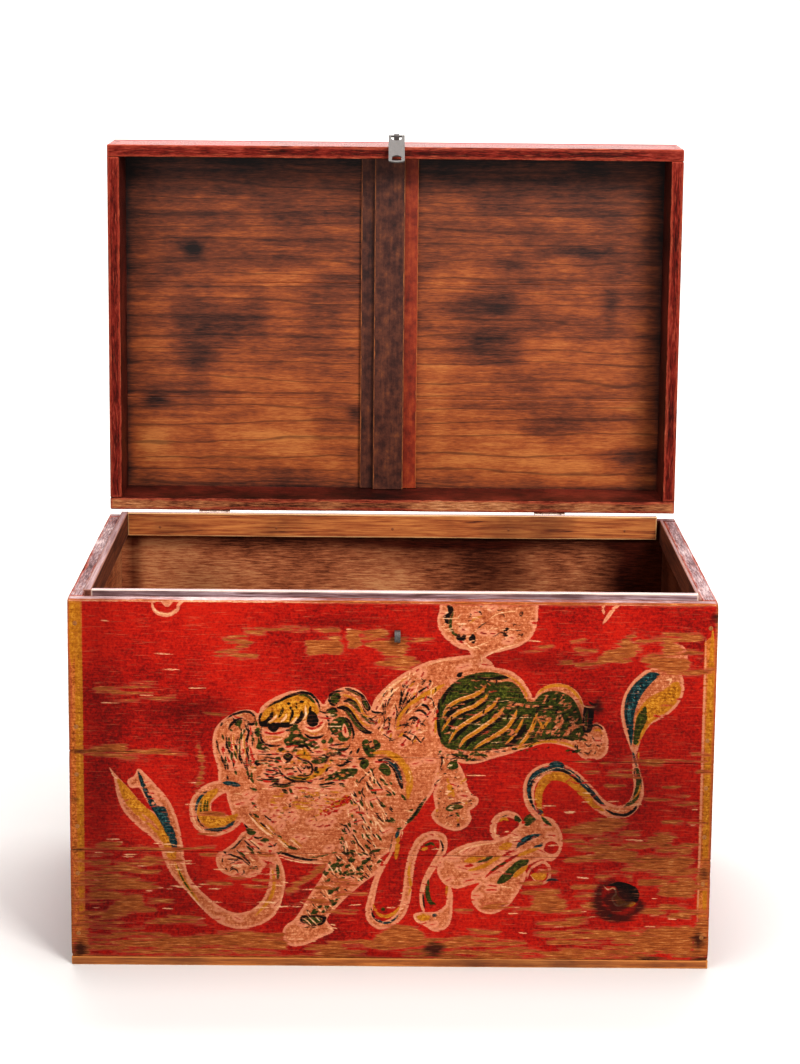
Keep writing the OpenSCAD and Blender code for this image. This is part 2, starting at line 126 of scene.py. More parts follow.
def soft_lamp(name, spot, aim, size, watts):
    """A square area lamp at a spot, turned towards the point it is aimed at."""
    lamp = bpy.data.lights.new(name, "AREA")
    lamp.size, lamp.energy = size, watts
    holder = bpy.data.objects.new(name, lamp)
    holder.location = spot
    holder.rotation_euler = (Vector(aim) - Vector(spot)).to_track_quat("-Z", "Y").to_euler()
    scene.collection.objects.link(holder)


soft_lamp("key_lamp", (1.2, -2.3, 2.2), (0, 0, 0.4), 0.9, 86)
soft_lamp("fill_lamp", (-1.9, -2.3, 1.3), (0, 0, 0.4), 1.8, 20)
soft_lamp("top_lamp", (0, -0.3, 3.0), (0, 0.5, 0.9), 1.6, 60)
soft_lamp("wall_lamp", (0, 1.6, 3.4), (0, 3.4, 0.6), 2.0, 150)
world = bpy.data.worlds.new("room")
scene.world = world
world.use_nodes = True
world.node_tree.nodes["Background"].inputs["Color"].default_value = linear("#f4f6ff")
world.node_tree.nodes["Background"].inputs["Strength"].default_value = 0.38


# The boards
# Planed softwood, sawn by hand to slightly different widths. Years of use have rounded every arris, more
# in some places than in others, and knocked chips out of the corners.
def stations(low, high, size):
    """Places from low to high: close together near both ends, where the arris is round, then even."""
    rim = np.array([0, 0.4, 0.9, 1.6, 2.6, 4.2])
    rim = rim[rim < (high - low) / 2 - 0.2]
    inner_low, inner_high = low + rim[-1], high - rim[-1]
    count = max(1, round((inner_high - inner_low) / size))
    even = np.linspace(inner_low, inner_high, count + 1)
    return np.concatenate([low + rim[:-1], even, high - rim[-2::-1]])


def worn_radius(p, base, chips):
    """The radius of the arris at each place: a base, times a sum of sines along the board, plus a bump that
    fades with the square of the distance round each chip."""
    waves = sum(a * np.sin(p @ np.array(k) + s) for a, k, s in (
        (0.30, (0.021, 0.018, 0.025), 0.5), (0.22, (0.083, 0.071, 0.095), 2.1),
        (0.16, (0.31, 0.27, 0.35), 4.0), (0.10, (0.83, 0.79, 0.88), 1.2)))
    radius = base * (1 + waves)
    for x, y, z, reach, depth in chips:
        radius += depth * np.exp(-((p - np.array((x, y, z))) ** 2).sum(1) / reach ** 2)
    return radius


def rounded(p, low, high, radius):
    """Moves places on a box to the same box with round arrises: each goes to the sphere of the arris's
    radius round the nearest point of the box drawn in by that radius."""
    radius = np.minimum(radius, 0.49 * (high - low).min())[:, None]
    core = np.clip(p, low + radius, high - radius)
    away = p - core
    return core + away * radius / np.maximum(np.linalg.norm(away, axis=1, keepdims=True), 1e-9)


def ring_quads(rows, n):
    """The faces of a skin made of rows of n points: each row joined to the next, all the way round."""
    row = np.arange(rows - 1)[:, None] * n
    a, b = row + np.arange(n), row + (np.arange(n) + 1) % n
    return np.stack([a, b, b + n, a + n], -1).reshape(-1, 4)


def ring_caps(rows, n):
    """The two faces that close such a skin, on its first and its last row."""
    return [np.arange(n)[::-1].tolist(), ((rows - 1) * n + np.arange(n)).tolist()]


def board_grid(low, high, along, length_step, side_steps):
    """A closed box skin: a ring of points round the section, carried along one axis, with ends drawn in by
    three smaller rings. The four side steps go low v, high u, high v, low u round the ring."""
    u, v = (along + 1) % 3, (along + 2) % 3
    us = [stations(low[u], high[u], side_steps[i]) for i in (0, 2)]
    vs = [stations(low[v], high[v], side_steps[i]) for i in (1, 3)]
    ring = np.concatenate([
        np.stack([us[0][:-1], np.full(len(us[0]) - 1, low[v])], 1),
        np.stack([np.full(len(vs[0]) - 1, high[u]), vs[0][:-1]], 1),
        np.stack([us[1][:0:-1], np.full(len(us[1]) - 1, high[v])], 1),
        np.stack([np.full(len(vs[1]) - 1, low[u]), vs[1][:0:-1]], 1)])
    length = stations(low[along], high[along], length_step)
    inset = np.array([2.4, 1.2, 0.5])
    inset = inset[inset < 0.45 * min(high[u] - low[u], high[v] - low[v])]
    t = np.concatenate([inset, np.zeros(len(length)), inset[::-1]])
    spot = np.concatenate([np.full(len(inset), length[0]), length, np.full(len(inset), length[-1])])
    p = np.empty((len(t), len(ring), 3))
    p[..., along] = spot[:, None]
    for k, axis in enumerate((u, v)):
        middle, half = (low[axis] + high[axis]) / 2, (high[axis] - low[axis]) / 2
        p[..., axis] = middle + (ring[None, :, k] - middle) * (1 - t[:, None] / half)
    return p.reshape(-1, 3), ring_quads(*p.shape[:2]).tolist() + ring_caps(*p.shape[:2])


def solid(name, points, faces, body, material, fields=None):
    """A smooth piece from places in millimetres, with a named value for each place."""
    mesh = bpy.data.meshes.new(name)
    mesh.from_pydata((points / 1000).tolist(), [], faces)
    for key, values in (fields or {}).items():
        mesh.attributes.new(key, "FLOAT", "POINT").data.foreach_set("value", values.astype(np.float32))
    mesh.shade_smooth()
    mesh.materials.append(material)
    piece = bpy.data.objects.new(name, mesh)
    scene.collection.objects.link(piece)
    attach(piece, body)
    return piece


def corners_of(node):
    """A node's lowest and highest corners, in millimetres."""
    return [np.array(c) * 1000 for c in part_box(node)]


far = 14.0


def board(node, along, body, material, faces, length_step, side_steps, base, chips=(), ends=None,
          fields=None):
    """A board that stands for a node. faces names sides with a finish of their own, each as (axis, side).
    ends gives the z of its lower and upper edge, each at its left and right end. fields moves its points
    and gives more values for them. Distances among the values, in millimetres, stop at far."""
    low, high = corners_of(node)
    p, quads = board_grid(low, high, along, length_step, side_steps)
    gaps = np.sort(np.minimum(p - low, high - p), axis=1)
    values = {"arris": gaps[:, 1], "bare": np.full(len(p), far), "dark": np.full(len(p), far)}
    for key, (axis, side) in faces.items():
        values[key] = (abs(p[:, axis] - (high if side > 0 else low)[axis]) < 1e-6).astype(float)
    points = rounded(p, low, high, worn_radius(p, base, chips))
    if ends:
        share = (points[:, 0] - low[0]) / (high[0] - low[0])
        bottom = ends[0][0] + (ends[0][1] - ends[0][0]) * share
        top = ends[1][0] + (ends[1][1] - ends[1][0]) * share
        points[:, 2] = bottom + (points[:, 2] - low[2]) / (high[2] - low[2]) * (top - bottom)
    if fields:
        points, more = fields(points, p)
        values.update(more)
    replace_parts(solid(node + "_wood", points, quads, body, material, values), node)


# The painting
# Oil-bound colours brushed on the lacquer by hand: a pink ground for each figure, then ochre, green and
# blue-green, and last black and pale strokes. Each patch is an outline and each stroke a width and a line,
# across and up the front in millimetres, from a point a little right of its middle.
COLOURS = ("red", "band", "pink", "ochre", "green", "teal", "pale", "black")
brushwork = []
figure_x = 2.2


def smooth_line(points, closed, parts=5):
    """Places on a smooth line through the given ones. Each stretch is the cubic whose slope at a point is
    half the step from the point before it to the point after it."""
    p = np.array(points, float)
    p = np.vstack([p[-1:], p, p[:2]]) if closed else np.vstack([2 * p[0] - p[1], p, 2 * p[-1] - p[-2]])
    t = np.linspace(0, 1, parts, endpoint=False)[:, None, None]
    a, b, c, d = p[:-3], p[1:-2], p[2:-1], p[3:]
    line = 2 * b + (c - a) * t + (2 * a - 5 * b + 4 * c - d) * t ** 2 + (3 * b - a - 3 * c + d) * t ** 3
    line = (line / 2).transpose(1, 0, 2).reshape(-1, 2)
    return np.vstack([line, line[:1] if closed else p[-2:-1]])


def patch(colour, *points):
    """A filled patch with a smooth outline through the points."""
    brushwork.append((colour, smooth_line(points, True), None))


def stroke(colour, width, *points):
    """A brush stroke through the points, narrower at both ends."""
    brushwork.append((colour, smooth_line(points, False), width))


def strokes(colour, *marks):
    """Strokes of one colour, each given as its width and then its points."""
    for width, *points in marks:
        stroke(colour, width, *points)


def spot(colour, x, z, rx, rz):
    """An oval patch round a place, with its half sizes across and up."""
    patch(colour, (x - rx, z), (x, z + rz), (x + rx, z), (x, z - rz))


def spots(colour, *marks):
    """Oval patches of one colour."""
    for mark in marks:
        spot(colour, *mark)


def hairs(colour, width, length, lean, count, *outline):
    """Short strokes over an outline, at seeded random places that fall inside it. lean is the mean and the
    spread of how many degrees they stand from level."""
    dice = np.random.default_rng(len(brushwork))
    line = smooth_line(outline, True)
    places = dice.uniform(line.min(0), line.max(0), (count * 4, 2))
    places = places[inside_outline(places, line)][:count]
    turn = np.radians(dice.normal(*lean, len(places)))
    half = length / 2 * dice.uniform(0.6, 1.4, len(places))
    reach = np.stack([half * np.cos(turn), half * np.sin(turn)], 1)
    for start, end in zip(places - reach, places + reach):
        stroke(colour, width, start, end)


def gap_to_line(places, line):
    """How far each place is from the nearest stretch of the line, and how far along the line that is."""
    a, step = line[:-1], line[1:] - line[:-1]
    from_a = places[:, None] - a
    t = np.clip((from_a * step).sum(2) / np.maximum((step ** 2).sum(1), 1e-9), 0, 1)
    gap = np.linalg.norm(from_a - t[..., None] * step, axis=2)
    nearest = gap.argmin(1)
    row = np.arange(len(places))
    return gap[row, nearest], (nearest + t[row, nearest]) / len(step)


def inside_outline(places, line):
    """True where a line to the right of the place crosses the outline an odd number of times."""
    a, b = line[:-1], line[1:]
    z = places[:, None, 1]
    crosses = (a[:, 1] > z) != (b[:, 1] > z)
    rise = np.where(abs(b[:, 1] - a[:, 1]) < 1e-9, 1e-9, b[:, 1] - a[:, 1])
    x = a[:, 0] + (z - a[:, 1]) * (b[:, 0] - a[:, 0]) / rise
    return (crosses & (x > places[:, None, 0])).sum(1) % 2 == 1


def painted(x, z, shift):
    """For each colour, the distance from each place to the edge of its paint, below 0 where it is painted.
    A patch or stroke also cuts away what it covers of the colours that are drawn over its own."""
    fields = {colour: np.full(len(x), far) for colour in {mark[0] for mark in brushwork}}
    places = np.stack([x - shift, z], 1)
    for colour, line, width in brushwork:
        margin = far + (width or 0) / 2
        near = np.flatnonzero(((places > line.min(0) - margin) & (places < line.max(0) + margin)).all(1))
        if not len(near):
            continue
        gap, along = gap_to_line(places[near], line)
        if width is None:
            gap = np.where(inside_outline(places[near], line), -gap, gap)
        else:
            gap = gap - width / 2 * (1 - 0.75 * abs(2 * along - 1) ** 3)
        for above in COLOURS[COLOURS.index(colour) + 1:] if colour in COLOURS else ():
            fields[above][near] = np.maximum(fields[above][near], -gap)
        fields[colour][near] = np.minimum(fields[colour][near], gap)
    return fields


# The lion's pink ground: tail, rump, hind legs, chest, front leg and paws, then the head
patch("pink", (52, 402), (46, 391), (44, 378), (49, 366), (58, 357), (68, 351), (77, 349), (79, 342),
      (70, 340), (84, 328), (91, 328), (92, 338), (100, 345), (115, 349), (130, 354), (142, 363), (148, 376),
      (149, 390), (145, 402), (100, 410))
patch("pink", (-24, 262), (-23, 290), (-13, 305), (1, 318), (18, 329), (38, 338), (60, 342), (85, 344),
      (102, 336), (100, 322), (60, 300), (50, 270), (50, 240), (20, 232), (-12, 240))
patch("pink", (43, 270), (45, 292), (53, 309), (66, 321), (82, 329), (103, 331), (122, 327), (134, 318),
      (142, 306), (146, 299), (152, 307), (163, 313), (176, 314), (189, 308), (197, 297), (201, 282),
      (205, 271), (214, 272), (222, 265), (226, 251), (224, 238), (213, 230), (200, 232), (188, 243),
      (165, 249), (148, 246), (125, 238), (105, 232), (85, 226), (66, 228), (54, 235), (46, 246))
patch("pink", (-172, 203), (-169, 180), (-160, 160), (-145, 140), (-127, 127), (-102, 118), (-76, 114),
      (-55, 116), (-35, 108), (-12, 122), (2, 135), (12, 155), (30, 178), (42, 196), (48, 218), (50, 242),
      (40, 262), (0, 262), (-60, 215), (-120, 207))
patch("pink", (-64, 122), (-76, 99), (-88, 80), (-98, 62), (-105, 52), (-113, 46), (-117, 38), (-115, 27),
      (-106, 22), (-92, 24), (-76, 32), (-62, 40), (-70, 52), (-61, 64), (-50, 76), (-33, 92), (-12, 112),
      (-30, 135))
patch("pink", (-158, 150), (-168, 138), (-178, 130), (-187, 124), (-187, 112), (-180, 103), (-165, 98),
      (-148, 99), (-138, 107), (-131, 120), (-133, 134), (-144, 148))
patch("pink", (-181, 198), (-186, 220), (-191, 240), (-190, 257), (-185, 267), (-175, 276), (-163, 282),
      (-150, 283), (-143, 279), (-140, 286), (-132, 293), (-121, 299), (-108, 304), (-96, 305), (-86, 301),
      (-79, 294), (-74, 290), (-70, 298), (-62, 305), (-50, 309), (-39, 306), (-31, 299), (-26, 290),
      (-20, 284), (-8, 278), (0, 262), (0, 235), (-20, 205), (-45, 198), (-110, 198), (-150, 196))

# Tail
patch("black", (51, 384), (55, 391), (54, 397), (59, 397), (61, 390), (58, 382), (57, 375), (53, 379))
stroke("green", 3.6, (61, 391), (58, 382), (58, 373), (62, 367), (70, 362))
stroke("pale", 1.6, (52, 389), (56, 390))
patch("black", (64, 362), (67, 368), (69, 364), (73, 367), (74, 361), (69, 359))
patch("black", (77, 361), (79, 365), (81, 368), (84, 364), (84, 359), (82, 356), (79, 359))
strokes("black", (1.6, (85, 371), (90, 376), (96, 380)),
        (1.4, (101, 363), (106, 366), (111, 369), (116, 368)))
spot("black", 117, 372, 3, 2.2)
strokes("black", (2.4, (112, 366), (117, 365), (114, 361)), (1.2, (120, 379), (128, 377)),
        (1.2, (124, 381), (124, 375)), (1.4, (129, 389), (133, 391), (132, 386), (129, 389)),
        (1.2, (126, 371), (132, 371)), (1.2, (128, 366), (134, 367), (130, 363)),
        (1.4, (76, 383), (79, 387), (78, 389)), (1.2, (66, 376), (69, 374), (71, 378)),
        (1.0, (84, 392), (90, 389), (88, 386)), (1.0, (107, 388), (113, 388), (114, 384)))
strokes("pale", (1.5, (96, 381), (106, 388), (118, 391), (130, 392)),
        (1.5, (66, 352), (74, 357), (80, 352), (92, 356), (104, 362)),
        (1.6, (92, 341), (104, 348), (116, 353), (130, 357)))
stroke("ochre", 2.0, (78, 378), (84, 384), (92, 386))
stroke("pale", 1.4, (90, 345), (91, 336), (88, 330))

# Rump
strokes("pale", (2.6, (-19, 292), (-9, 304), (3, 314), (16, 323)), (2.6, (-15, 288), (-6, 300), (6, 310)))
strokes("black", (1.3, (18, 319), (12, 313), (9, 307)),
        (2.0, (26, 320), (18, 313), (14, 303), (10, 292), (6, 283)), (1.6, (0, 303), (-5, 296), (-8, 286)),
        (1.4, (-8, 296), (-10, 287), (-9, 278)), (2.6, (7, 306), (7, 296), (5, 286)),
        (3.2, (17, 301), (14, 292), (9, 284)), (2.4, (39, 312), (29, 306), (21, 299), (16, 291)),
        (1.6, (43, 304), (35, 301), (29, 297)), (1.2, (25, 312), (30, 316), (27, 319)),
        (1.6, (1, 290), (3, 281), (1, 273)), (1.4, (-12, 282), (-10, 270), (-13, 262)),
        (1.4, (-6, 276), (-5, 266), (-9, 257)), (1.2, (-12, 258), (-6, 254), (2, 252)))
stroke("ochre", 7.0, (3, 266), (7, 277), (16, 288), (28, 297), (40, 305), (52, 312))
stroke("pink", 2.2, (6, 272), (14, 284), (26, 293), (38, 301))
strokes("black", (1.4, (0, 264), (2, 274), (8, 284), (14, 290)),
        (2.0, (27, 296), (33, 298), (38, 297), (41, 292), (42, 284)),
        (3.0, (22, 287), (28, 290), (34, 288), (37, 283)))
stroke("pale", 1.2, (29, 286), (34, 285))
strokes("black", (2.6, (20, 282), (27, 284), (33, 280), (36, 275)),
        (3.0, (14, 272), (20, 276), (25, 274), (29, 269)), (1.8, (27, 270), (33, 267)),
        (1.8, (5, 267), (12, 268), (18, 266)), (1.6, (23, 262), (29, 263)),
        (2.2, (3, 257), (11, 256), (17, 252), (22, 250)), (1.6, (16, 259), (22, 256), (27, 250), (30, 248)),
        (1.2, (-4, 250), (2, 252)))
stroke("ochre", 4.0, (43, 258), (45, 275), (47, 292))
spot("black", 37, 316, 1.4, 1.2)
patch("black", (64, 319), (66, 324), (71, 326), (70, 321), (66, 318))
stroke("pale", 1.2, (30, 331), (50, 338), (66, 340))

# Haunch and the raised hind leg
patch("green", (46, 272), (46, 290), (52, 303), (62, 314), (76, 322), (96, 326), (114, 323), (126, 315),
      (133, 306), (138, 297), (146, 294), (153, 302), (165, 306), (178, 304), (188, 297), (195, 284),
      (199, 270), (200, 258), (190, 252), (176, 254), (160, 252), (142, 249), (122, 245), (104, 241),
      (84, 240), (70, 240), (56, 243), (49, 250))
strokes("black", (3.4, (47, 296), (46, 280), (47, 262), (50, 252)), (3.6, (62, 312), (54, 302), (50, 290)),
        (2.6, (126, 316), (114, 321), (98, 318), (84, 321), (70, 318)))
stroke("pink", 2.6, (133, 309), (122, 317), (108, 316), (96, 317))
strokes("black", (6.2, (96, 305), (84, 298), (72, 293), (60, 283), (54, 276)),
        (6.2, (101, 298), (88, 289), (76, 284), (64, 276), (57, 262)),
        (6.2, (110, 290), (97, 282), (84, 273), (72, 264), (63, 252)),
        (6.2, (118, 281), (106, 272), (94, 263), (82, 254), (75, 243)),
        (6.2, (130, 276), (118, 264), (106, 257), (96, 250), (88, 244)),
        (6.2, (139, 270), (132, 258), (124, 249), (118, 246)))
for points in (((51, 277), (57, 288), (68, 295), (82, 300), (91, 305), (96, 312)),
               ((50, 261), (58, 274), (70, 283), (84, 289), (94, 297), (100, 305)),
               ((58, 249), (65, 262), (78, 272), (92, 281), (103, 289), (109, 297)),
               ((69, 244), (75, 253), (88, 262), (100, 271), (110, 280), (115, 288)),
               ((84, 242), (95, 250), (108, 258), (119, 266), (126, 277), (129, 285)),
               ((132, 246), (140, 256), (146, 268), (150, 283))):
    stroke("ochre", 4.4, *points)
    stroke("pale", 1.0, *[(x - 1, z + 1.4) for x, z in points[:-1]])
strokes("ochre", (3.0, (117, 247), (125, 256), (132, 267), (136, 277)),
        (3.0, (148, 256), (157, 266), (164, 277)), (2.6, (150, 277), (155, 268), (152, 262)))
strokes("pink", (4.0, (166, 258), (170, 266), (176, 272), (175, 280)),
        (4.0, (178, 257), (184, 262), (189, 268), (185, 274)),
        (3.4, (118, 290), (130, 291), (142, 289), (152, 290)))
spot("pink", 123, 261, 4, 3)
strokes("pale", (1.0, (104, 281), (116, 276), (136, 277), (150, 276)),
        (0.9, (74, 270), (92, 269), (108, 271)), (0.9, (60, 277), (76, 275)),
        (0.9, (96, 295), (110, 294), (122, 296)))
strokes("ochre", (3.6, (148, 300), (156, 308), (168, 312), (182, 310), (192, 301), (199, 288)),
        (2.4, (140, 294), (137, 305), (128, 316), (116, 324)),
        (2.6, (122, 241), (140, 246), (160, 251), (180, 249), (194, 243)))
stroke("black", 1.2, (128, 243), (144, 248), (160, 254), (176, 256), (190, 252))
strokes("green", (3.0, (62, 236), (72, 235), (78, 232)), (3.0, (84, 235), (92, 236), (99, 234)))
strokes("black", (1.6, (60, 238), (68, 233), (80, 230), (94, 230)), (1.4, (90, 243), (98, 247), (104, 251)),
        (1.4, (108, 252), (112, 256), (115, 252), (112, 249)))
for x, z in ((160, 300), (168, 297), (177, 301), (184, 292), (190, 283), (165, 288), (157, 292), (180, 285),
             (172, 283), (188, 273), (170, 303), (193, 268), (186, 262), (158, 283), (176, 292)):
    stroke("pink", 1.4, (x - 2, z), (x + 2, z + 1))
    stroke("black", 1.2, (x - 1, z - 3), (x + 3, z - 2))
patch("black", (199, 262), (198, 276), (200, 290), (206, 290), (210, 286), (209, 272), (207, 262))
stroke("green", 3.2, (202, 264), (202, 276), (203, 286))
stroke("pale", 1.4, (196, 292), (202, 289), (210, 289), (214, 291))
strokes("black", (2.6, (204, 295), (208, 292), (214, 292)),
        (2.6, (207, 265), (210, 269), (216, 268), (220, 264)))
stroke("ochre", 3.0, (210, 262), (215, 264), (219, 260))
strokes("black", (1.5, (208, 258), (212, 252), (218, 254), (218, 260)),
        (1.5, (200, 250), (206, 246), (209, 251)), (1.5, (192, 246), (195, 240), (199, 238)),
        (1.5, (200, 240), (205, 238), (209, 243)), (1.5, (196, 256), (201, 259), (205, 256)),
        (1.5, (213, 248), (217, 246), (219, 250)))
stroke("green", 3.0, (194, 260), (198, 254), (204, 252))

# Face: mane on the left
for width, points in ((1.8, ((-187, 250), (-186, 245), (-185, 240), (-183, 235))),
                      (2.0, ((-182, 233), (-180, 226), (-178, 222))), (1.8, ((-183, 265), (-180, 269))),
                      (2.0, ((-176, 273), (-171, 277), (-165, 279), (-158, 281), (-151, 280), (-147, 276),
                       (-146, 271))), (2.8, ((-146, 271), (-148, 268), (-152, 267.5), (-154, 271))),
                      (2.0, ((-158, 272), (-155, 271))),
                      (2.4, ((-174, 261), (-172, 266), (-168, 270), (-163, 273), (-159, 274))),
                      (2.4, ((-177, 255), (-176, 248), (-176, 243), (-174, 239), (-171, 231), (-169, 226),
                       (-169, 219))),
                      (2.2, ((-164, 253), (-166, 246), (-166, 240), (-164, 235), (-162, 229), (-160, 224))),
                      (1.6, ((-160, 263), (-161, 256))),
                      (2.6, ((-151, 262), (-153, 257), (-155, 250), (-156, 243), (-155, 236), (-153, 229),
                       (-153, 221))), (1.6, ((-149, 260), (-149, 252), (-149, 243))),
                      (2.8, ((-148, 232), (-146, 226), (-143, 222))),
                      (1.6, ((-176, 212), (-175, 207), (-174, 204))), (1.6, ((-153, 212), (-153, 207)))):
    stroke("black", width + 0.6, *points)
patch("green", (-168, 267), (-165, 271), (-160, 272), (-161, 267), (-165, 265))
strokes("green", (2.6, (-173, 254), (-174, 247), (-172, 240)), (2.2, (-171, 237), (-170, 231)),
        (2.8, (-162, 254), (-163, 246), (-163, 240), (-162, 234)),
        (3.4, (-156, 262), (-160, 257), (-161, 250)), (2.4, (-151, 230), (-151, 221)),
        (3.2, (-150, 215), (-150, 208), (-148, 203)), (2.6, (-178, 227), (-178, 222)),
        (2.2, (-173, 262), (-170, 259)))
for width, points in ((2.0, ((-158, 256), (-158, 247), (-157, 238), (-155, 228))),
                      (1.4, ((-180, 258), (-180, 248))),
                      (1.6, ((-169, 256), (-169, 247), (-167, 238), (-164, 229))),
                      (1.6, ((-168, 275), (-158, 278)))):
    stroke("ochre", width, *points)
    stroke("pale", width - 0.6, *[(x - 1, z) for x, z in points])

# Face: brow
patch("ochre", (-141, 271), (-138, 280), (-130, 288), (-121, 294), (-110, 299), (-99, 301), (-90, 299),
      (-84, 293), (-80, 286), (-80, 279), (-88, 275), (-98, 271), (-112, 267), (-124, 270), (-134, 267))
strokes("green", (3.2, (-101, 299), (-93, 299), (-87, 295), (-83, 289)),
        (2.4, (-131, 288), (-125, 291), (-118, 295)))
strokes("black",
        (3.2, (-134, 285), (-127, 290), (-120, 293), (-113, 297), (-105, 300), (-97, 302), (-89, 301),
         (-84, 297), (-80, 291), (-78, 284)), (2.8, (-139, 280), (-141, 276), (-142, 270)))
patch("black", (-142, 271), (-137, 271), (-132, 276), (-127, 279), (-128, 274), (-131, 270), (-132, 265),
      (-138, 264), (-142, 267))
patch("black", (-125, 268), (-118, 270), (-112, 270), (-104, 272), (-98, 277), (-94, 281), (-95, 274),
      (-100, 269), (-106, 266), (-112, 264), (-121, 264))
strokes("black", (3.0, (-117, 286), (-118, 281), (-122, 274)), (3.0, (-107, 284), (-107, 278), (-110, 271)),
        (3.0, (-97, 283), (-98, 277), (-101, 271)), (3.0, (-127, 281), (-131, 276)),
        (3.0, (-88, 288), (-89, 280)))
stroke("green", 1.6, (-118, 284), (-120, 278))
strokes("pale", (2.6, (-93.5, 288), (-93, 281), (-93.5, 276), (-97, 272)),
        (2.6, (-102, 276), (-105, 271), (-110, 268)), (2.6, (-113, 279), (-115, 274), (-120, 269)),
        (2.6, (-123, 278), (-127, 273), (-133, 269)))
for x, z, rx in ((-111, 290, 2.4), (-103, 290, 1.7), (-97, 292, 3), (-109, 285, 1.6), (-103, 286, 1.6)):
    spot("black", x, z, rx, 1.6)
stroke("ochre", 1.8, (-84, 287), (-84, 281))

# Face: eyes
patch("pink", (-140, 264), (-140, 254), (-136, 248), (-128, 245), (-118, 247), (-111, 253), (-110, 262),
      (-120, 264), (-132, 264))
stroke("red", 2.0, (-136, 259), (-129, 257), (-121, 258), (-114, 261))
stroke("ochre", 1.5, (-136, 253), (-128, 254), (-118, 253))
stroke("pale", 2.2, (-134, 249), (-126, 249), (-117, 252))
strokes("black",
        (2.6, (-139, 265), (-140.5, 258), (-140, 252), (-137, 247), (-131, 244), (-125, 244), (-118, 245)),
        (2.2, (-110, 263), (-110, 258)))
spot("black", -127, 264, 6.0, 5.6)
patch("pink", (-98, 267), (-96, 260), (-90, 255), (-82, 253), (-74, 258), (-69, 266), (-70, 275), (-76, 281),
      (-82, 276), (-90, 268))
stroke("red", 2.0, (-93, 265), (-86, 263), (-79, 266), (-75, 272))
stroke("ochre", 1.5, (-92, 261), (-84, 257), (-76, 262))
stroke("pale", 2.2, (-94, 263), (-86, 260), (-78, 263), (-73, 270))
strokes("black", (3.0, (-95, 258), (-90, 254), (-84, 253), (-78, 254), (-73, 257)),
        (2.4, (-79, 282), (-73, 280), (-70, 275), (-68.5, 268), (-69, 260)))
patch("black", (-92, 274), (-91, 268), (-86, 265), (-80, 268), (-80, 275), (-84, 281), (-89, 282))

# Face: cheeks, nose and mouth
spots("green", (-143, 258, 2.6, 6), (-145, 268, 1.6, 3), (-104, 266, 3.4, 2), (-104, 254, 5, 4),
      (-138, 243, 4, 3.4), (-88, 247, 8, 3.4), (-100, 244, 6, 3), (-66, 250, 2.4, 4), (-64, 278, 5, 2.2),
      (-74, 249, 3, 2.4))
for points in (((-147, 257), (-146, 262), (-142, 264), (-141, 258), (-143, 255)),
               ((-143, 253), (-141, 250), (-138, 246), (-132, 242), (-131, 239), (-138, 239), (-145, 241),
                (-144, 246)), ((-126, 226), (-125, 231), (-120, 232), (-119, 228), (-122, 225)),
               ((-133, 221), (-131, 225), (-127, 222)),
               ((-110, 258), (-109, 264), (-103, 265), (-98, 260), (-95, 254), (-89, 252), (-83, 249),
                (-78, 243), (-84, 241), (-90, 244), (-97, 247), (-104, 245), (-111, 243), (-116, 248),
                (-115, 252), (-111, 254)), ((-123, 238), (-120, 243), (-116, 243), (-117, 238)),
               ((-64, 273), (-58, 276), (-51, 275), (-48, 269), (-45, 262), (-46, 254), (-51, 249),
                (-57, 250), (-61, 255), (-65, 258), (-68, 263), (-67, 269)),
               ((-87, 226), (-85, 229), (-79, 230), (-74, 233), (-70, 232), (-72, 227), (-79, 224)),
               ((-70, 207), (-67, 212), (-62, 216), (-55, 219), (-46, 220), (-38, 219), (-41, 212),
                (-47, 209), (-55, 207), (-62, 207)),
               ((-36, 223), (-34, 229), (-28, 230), (-26, 224), (-31, 219)),
               ((-34, 246), (-32, 251), (-27, 251), (-25, 243), (-19, 240), (-19, 234), (-26, 232),
                (-31, 238)), ((-22, 251), (-18, 251), (-14, 247), (-15, 242), (-20, 241)),
               ((-108, 238), (-104, 242), (-100, 238)),
               ((-67, 236), (-60, 235), (-52, 239), (-47, 244), (-53, 243), (-60, 239)),
               ((-70, 248), (-67, 251), (-65, 246))):
    patch("green", *points)
patch("pink", (-55, 262), (-53, 269), (-50, 265), (-47.5, 257), (-50, 253), (-54, 257))
stroke("red", 2.2, (-52, 266), (-51, 258))
spots("pink", (-103, 259, 2.6, 2), (-102, 252, 4, 1.6), (-91, 248, 2.4, 1.2), (-62, 270, 2.2, 1),
      (-58, 262, 1.6, 1), (-64, 262, 1.4, 0.9), (-60, 255, 2, 1.4), (-55, 213, 3, 1), (-64, 211, 2, 1),
      (-49, 215, 2, 0.9), (-58, 217, 2, 0.9), (-29, 246, 1.6, 1), (-24, 237, 2, 1), (-112, 248, 2, 1),
      (-138, 243, 2, 1), (-106, 250, 1.4, 0.9), (-97, 251, 1.6, 0.9), (-85, 246, 1.8, 1), (-78, 227, 2, 0.9))
for x, z in ((-112, 261), (-99, 256), (-108, 246), (-101, 248), (-93, 250), (-86, 244), (-62, 266),
             (-57, 271), (-50, 271), (-47, 265), (-64, 258), (-66, 210), (-60, 213), (-52, 211), (-46, 213),
             (-50, 218), (-32, 226), (-29, 241), (-22, 243), (-18, 246), (-25, 249), (-140, 247),
             (-136, 241), (-123, 229), (-145, 259)):
    stroke("black", 2.4, (x - 2.4, z - 0.8), (x + 2, z + 0.6))
for x, z in ((-136, 237), (-131, 234), (-128, 230), (-134, 231), (-125, 235), (-130, 227), (-140, 234),
             (-137, 228)):
    stroke("black", 1.8, (x - 4, z), (x + 4, z + 0.4))
    stroke("pink", 1.6, (x - 4, z - 1.8), (x + 4, z - 1.4))
patch("pink", (-119, 233), (-117, 238), (-111, 240), (-105, 237), (-104, 230), (-108, 226), (-116, 226))
spot("black", -111.5, 232, 5.4, 4.6)
spot("green", -112, 233, 2.6, 2)
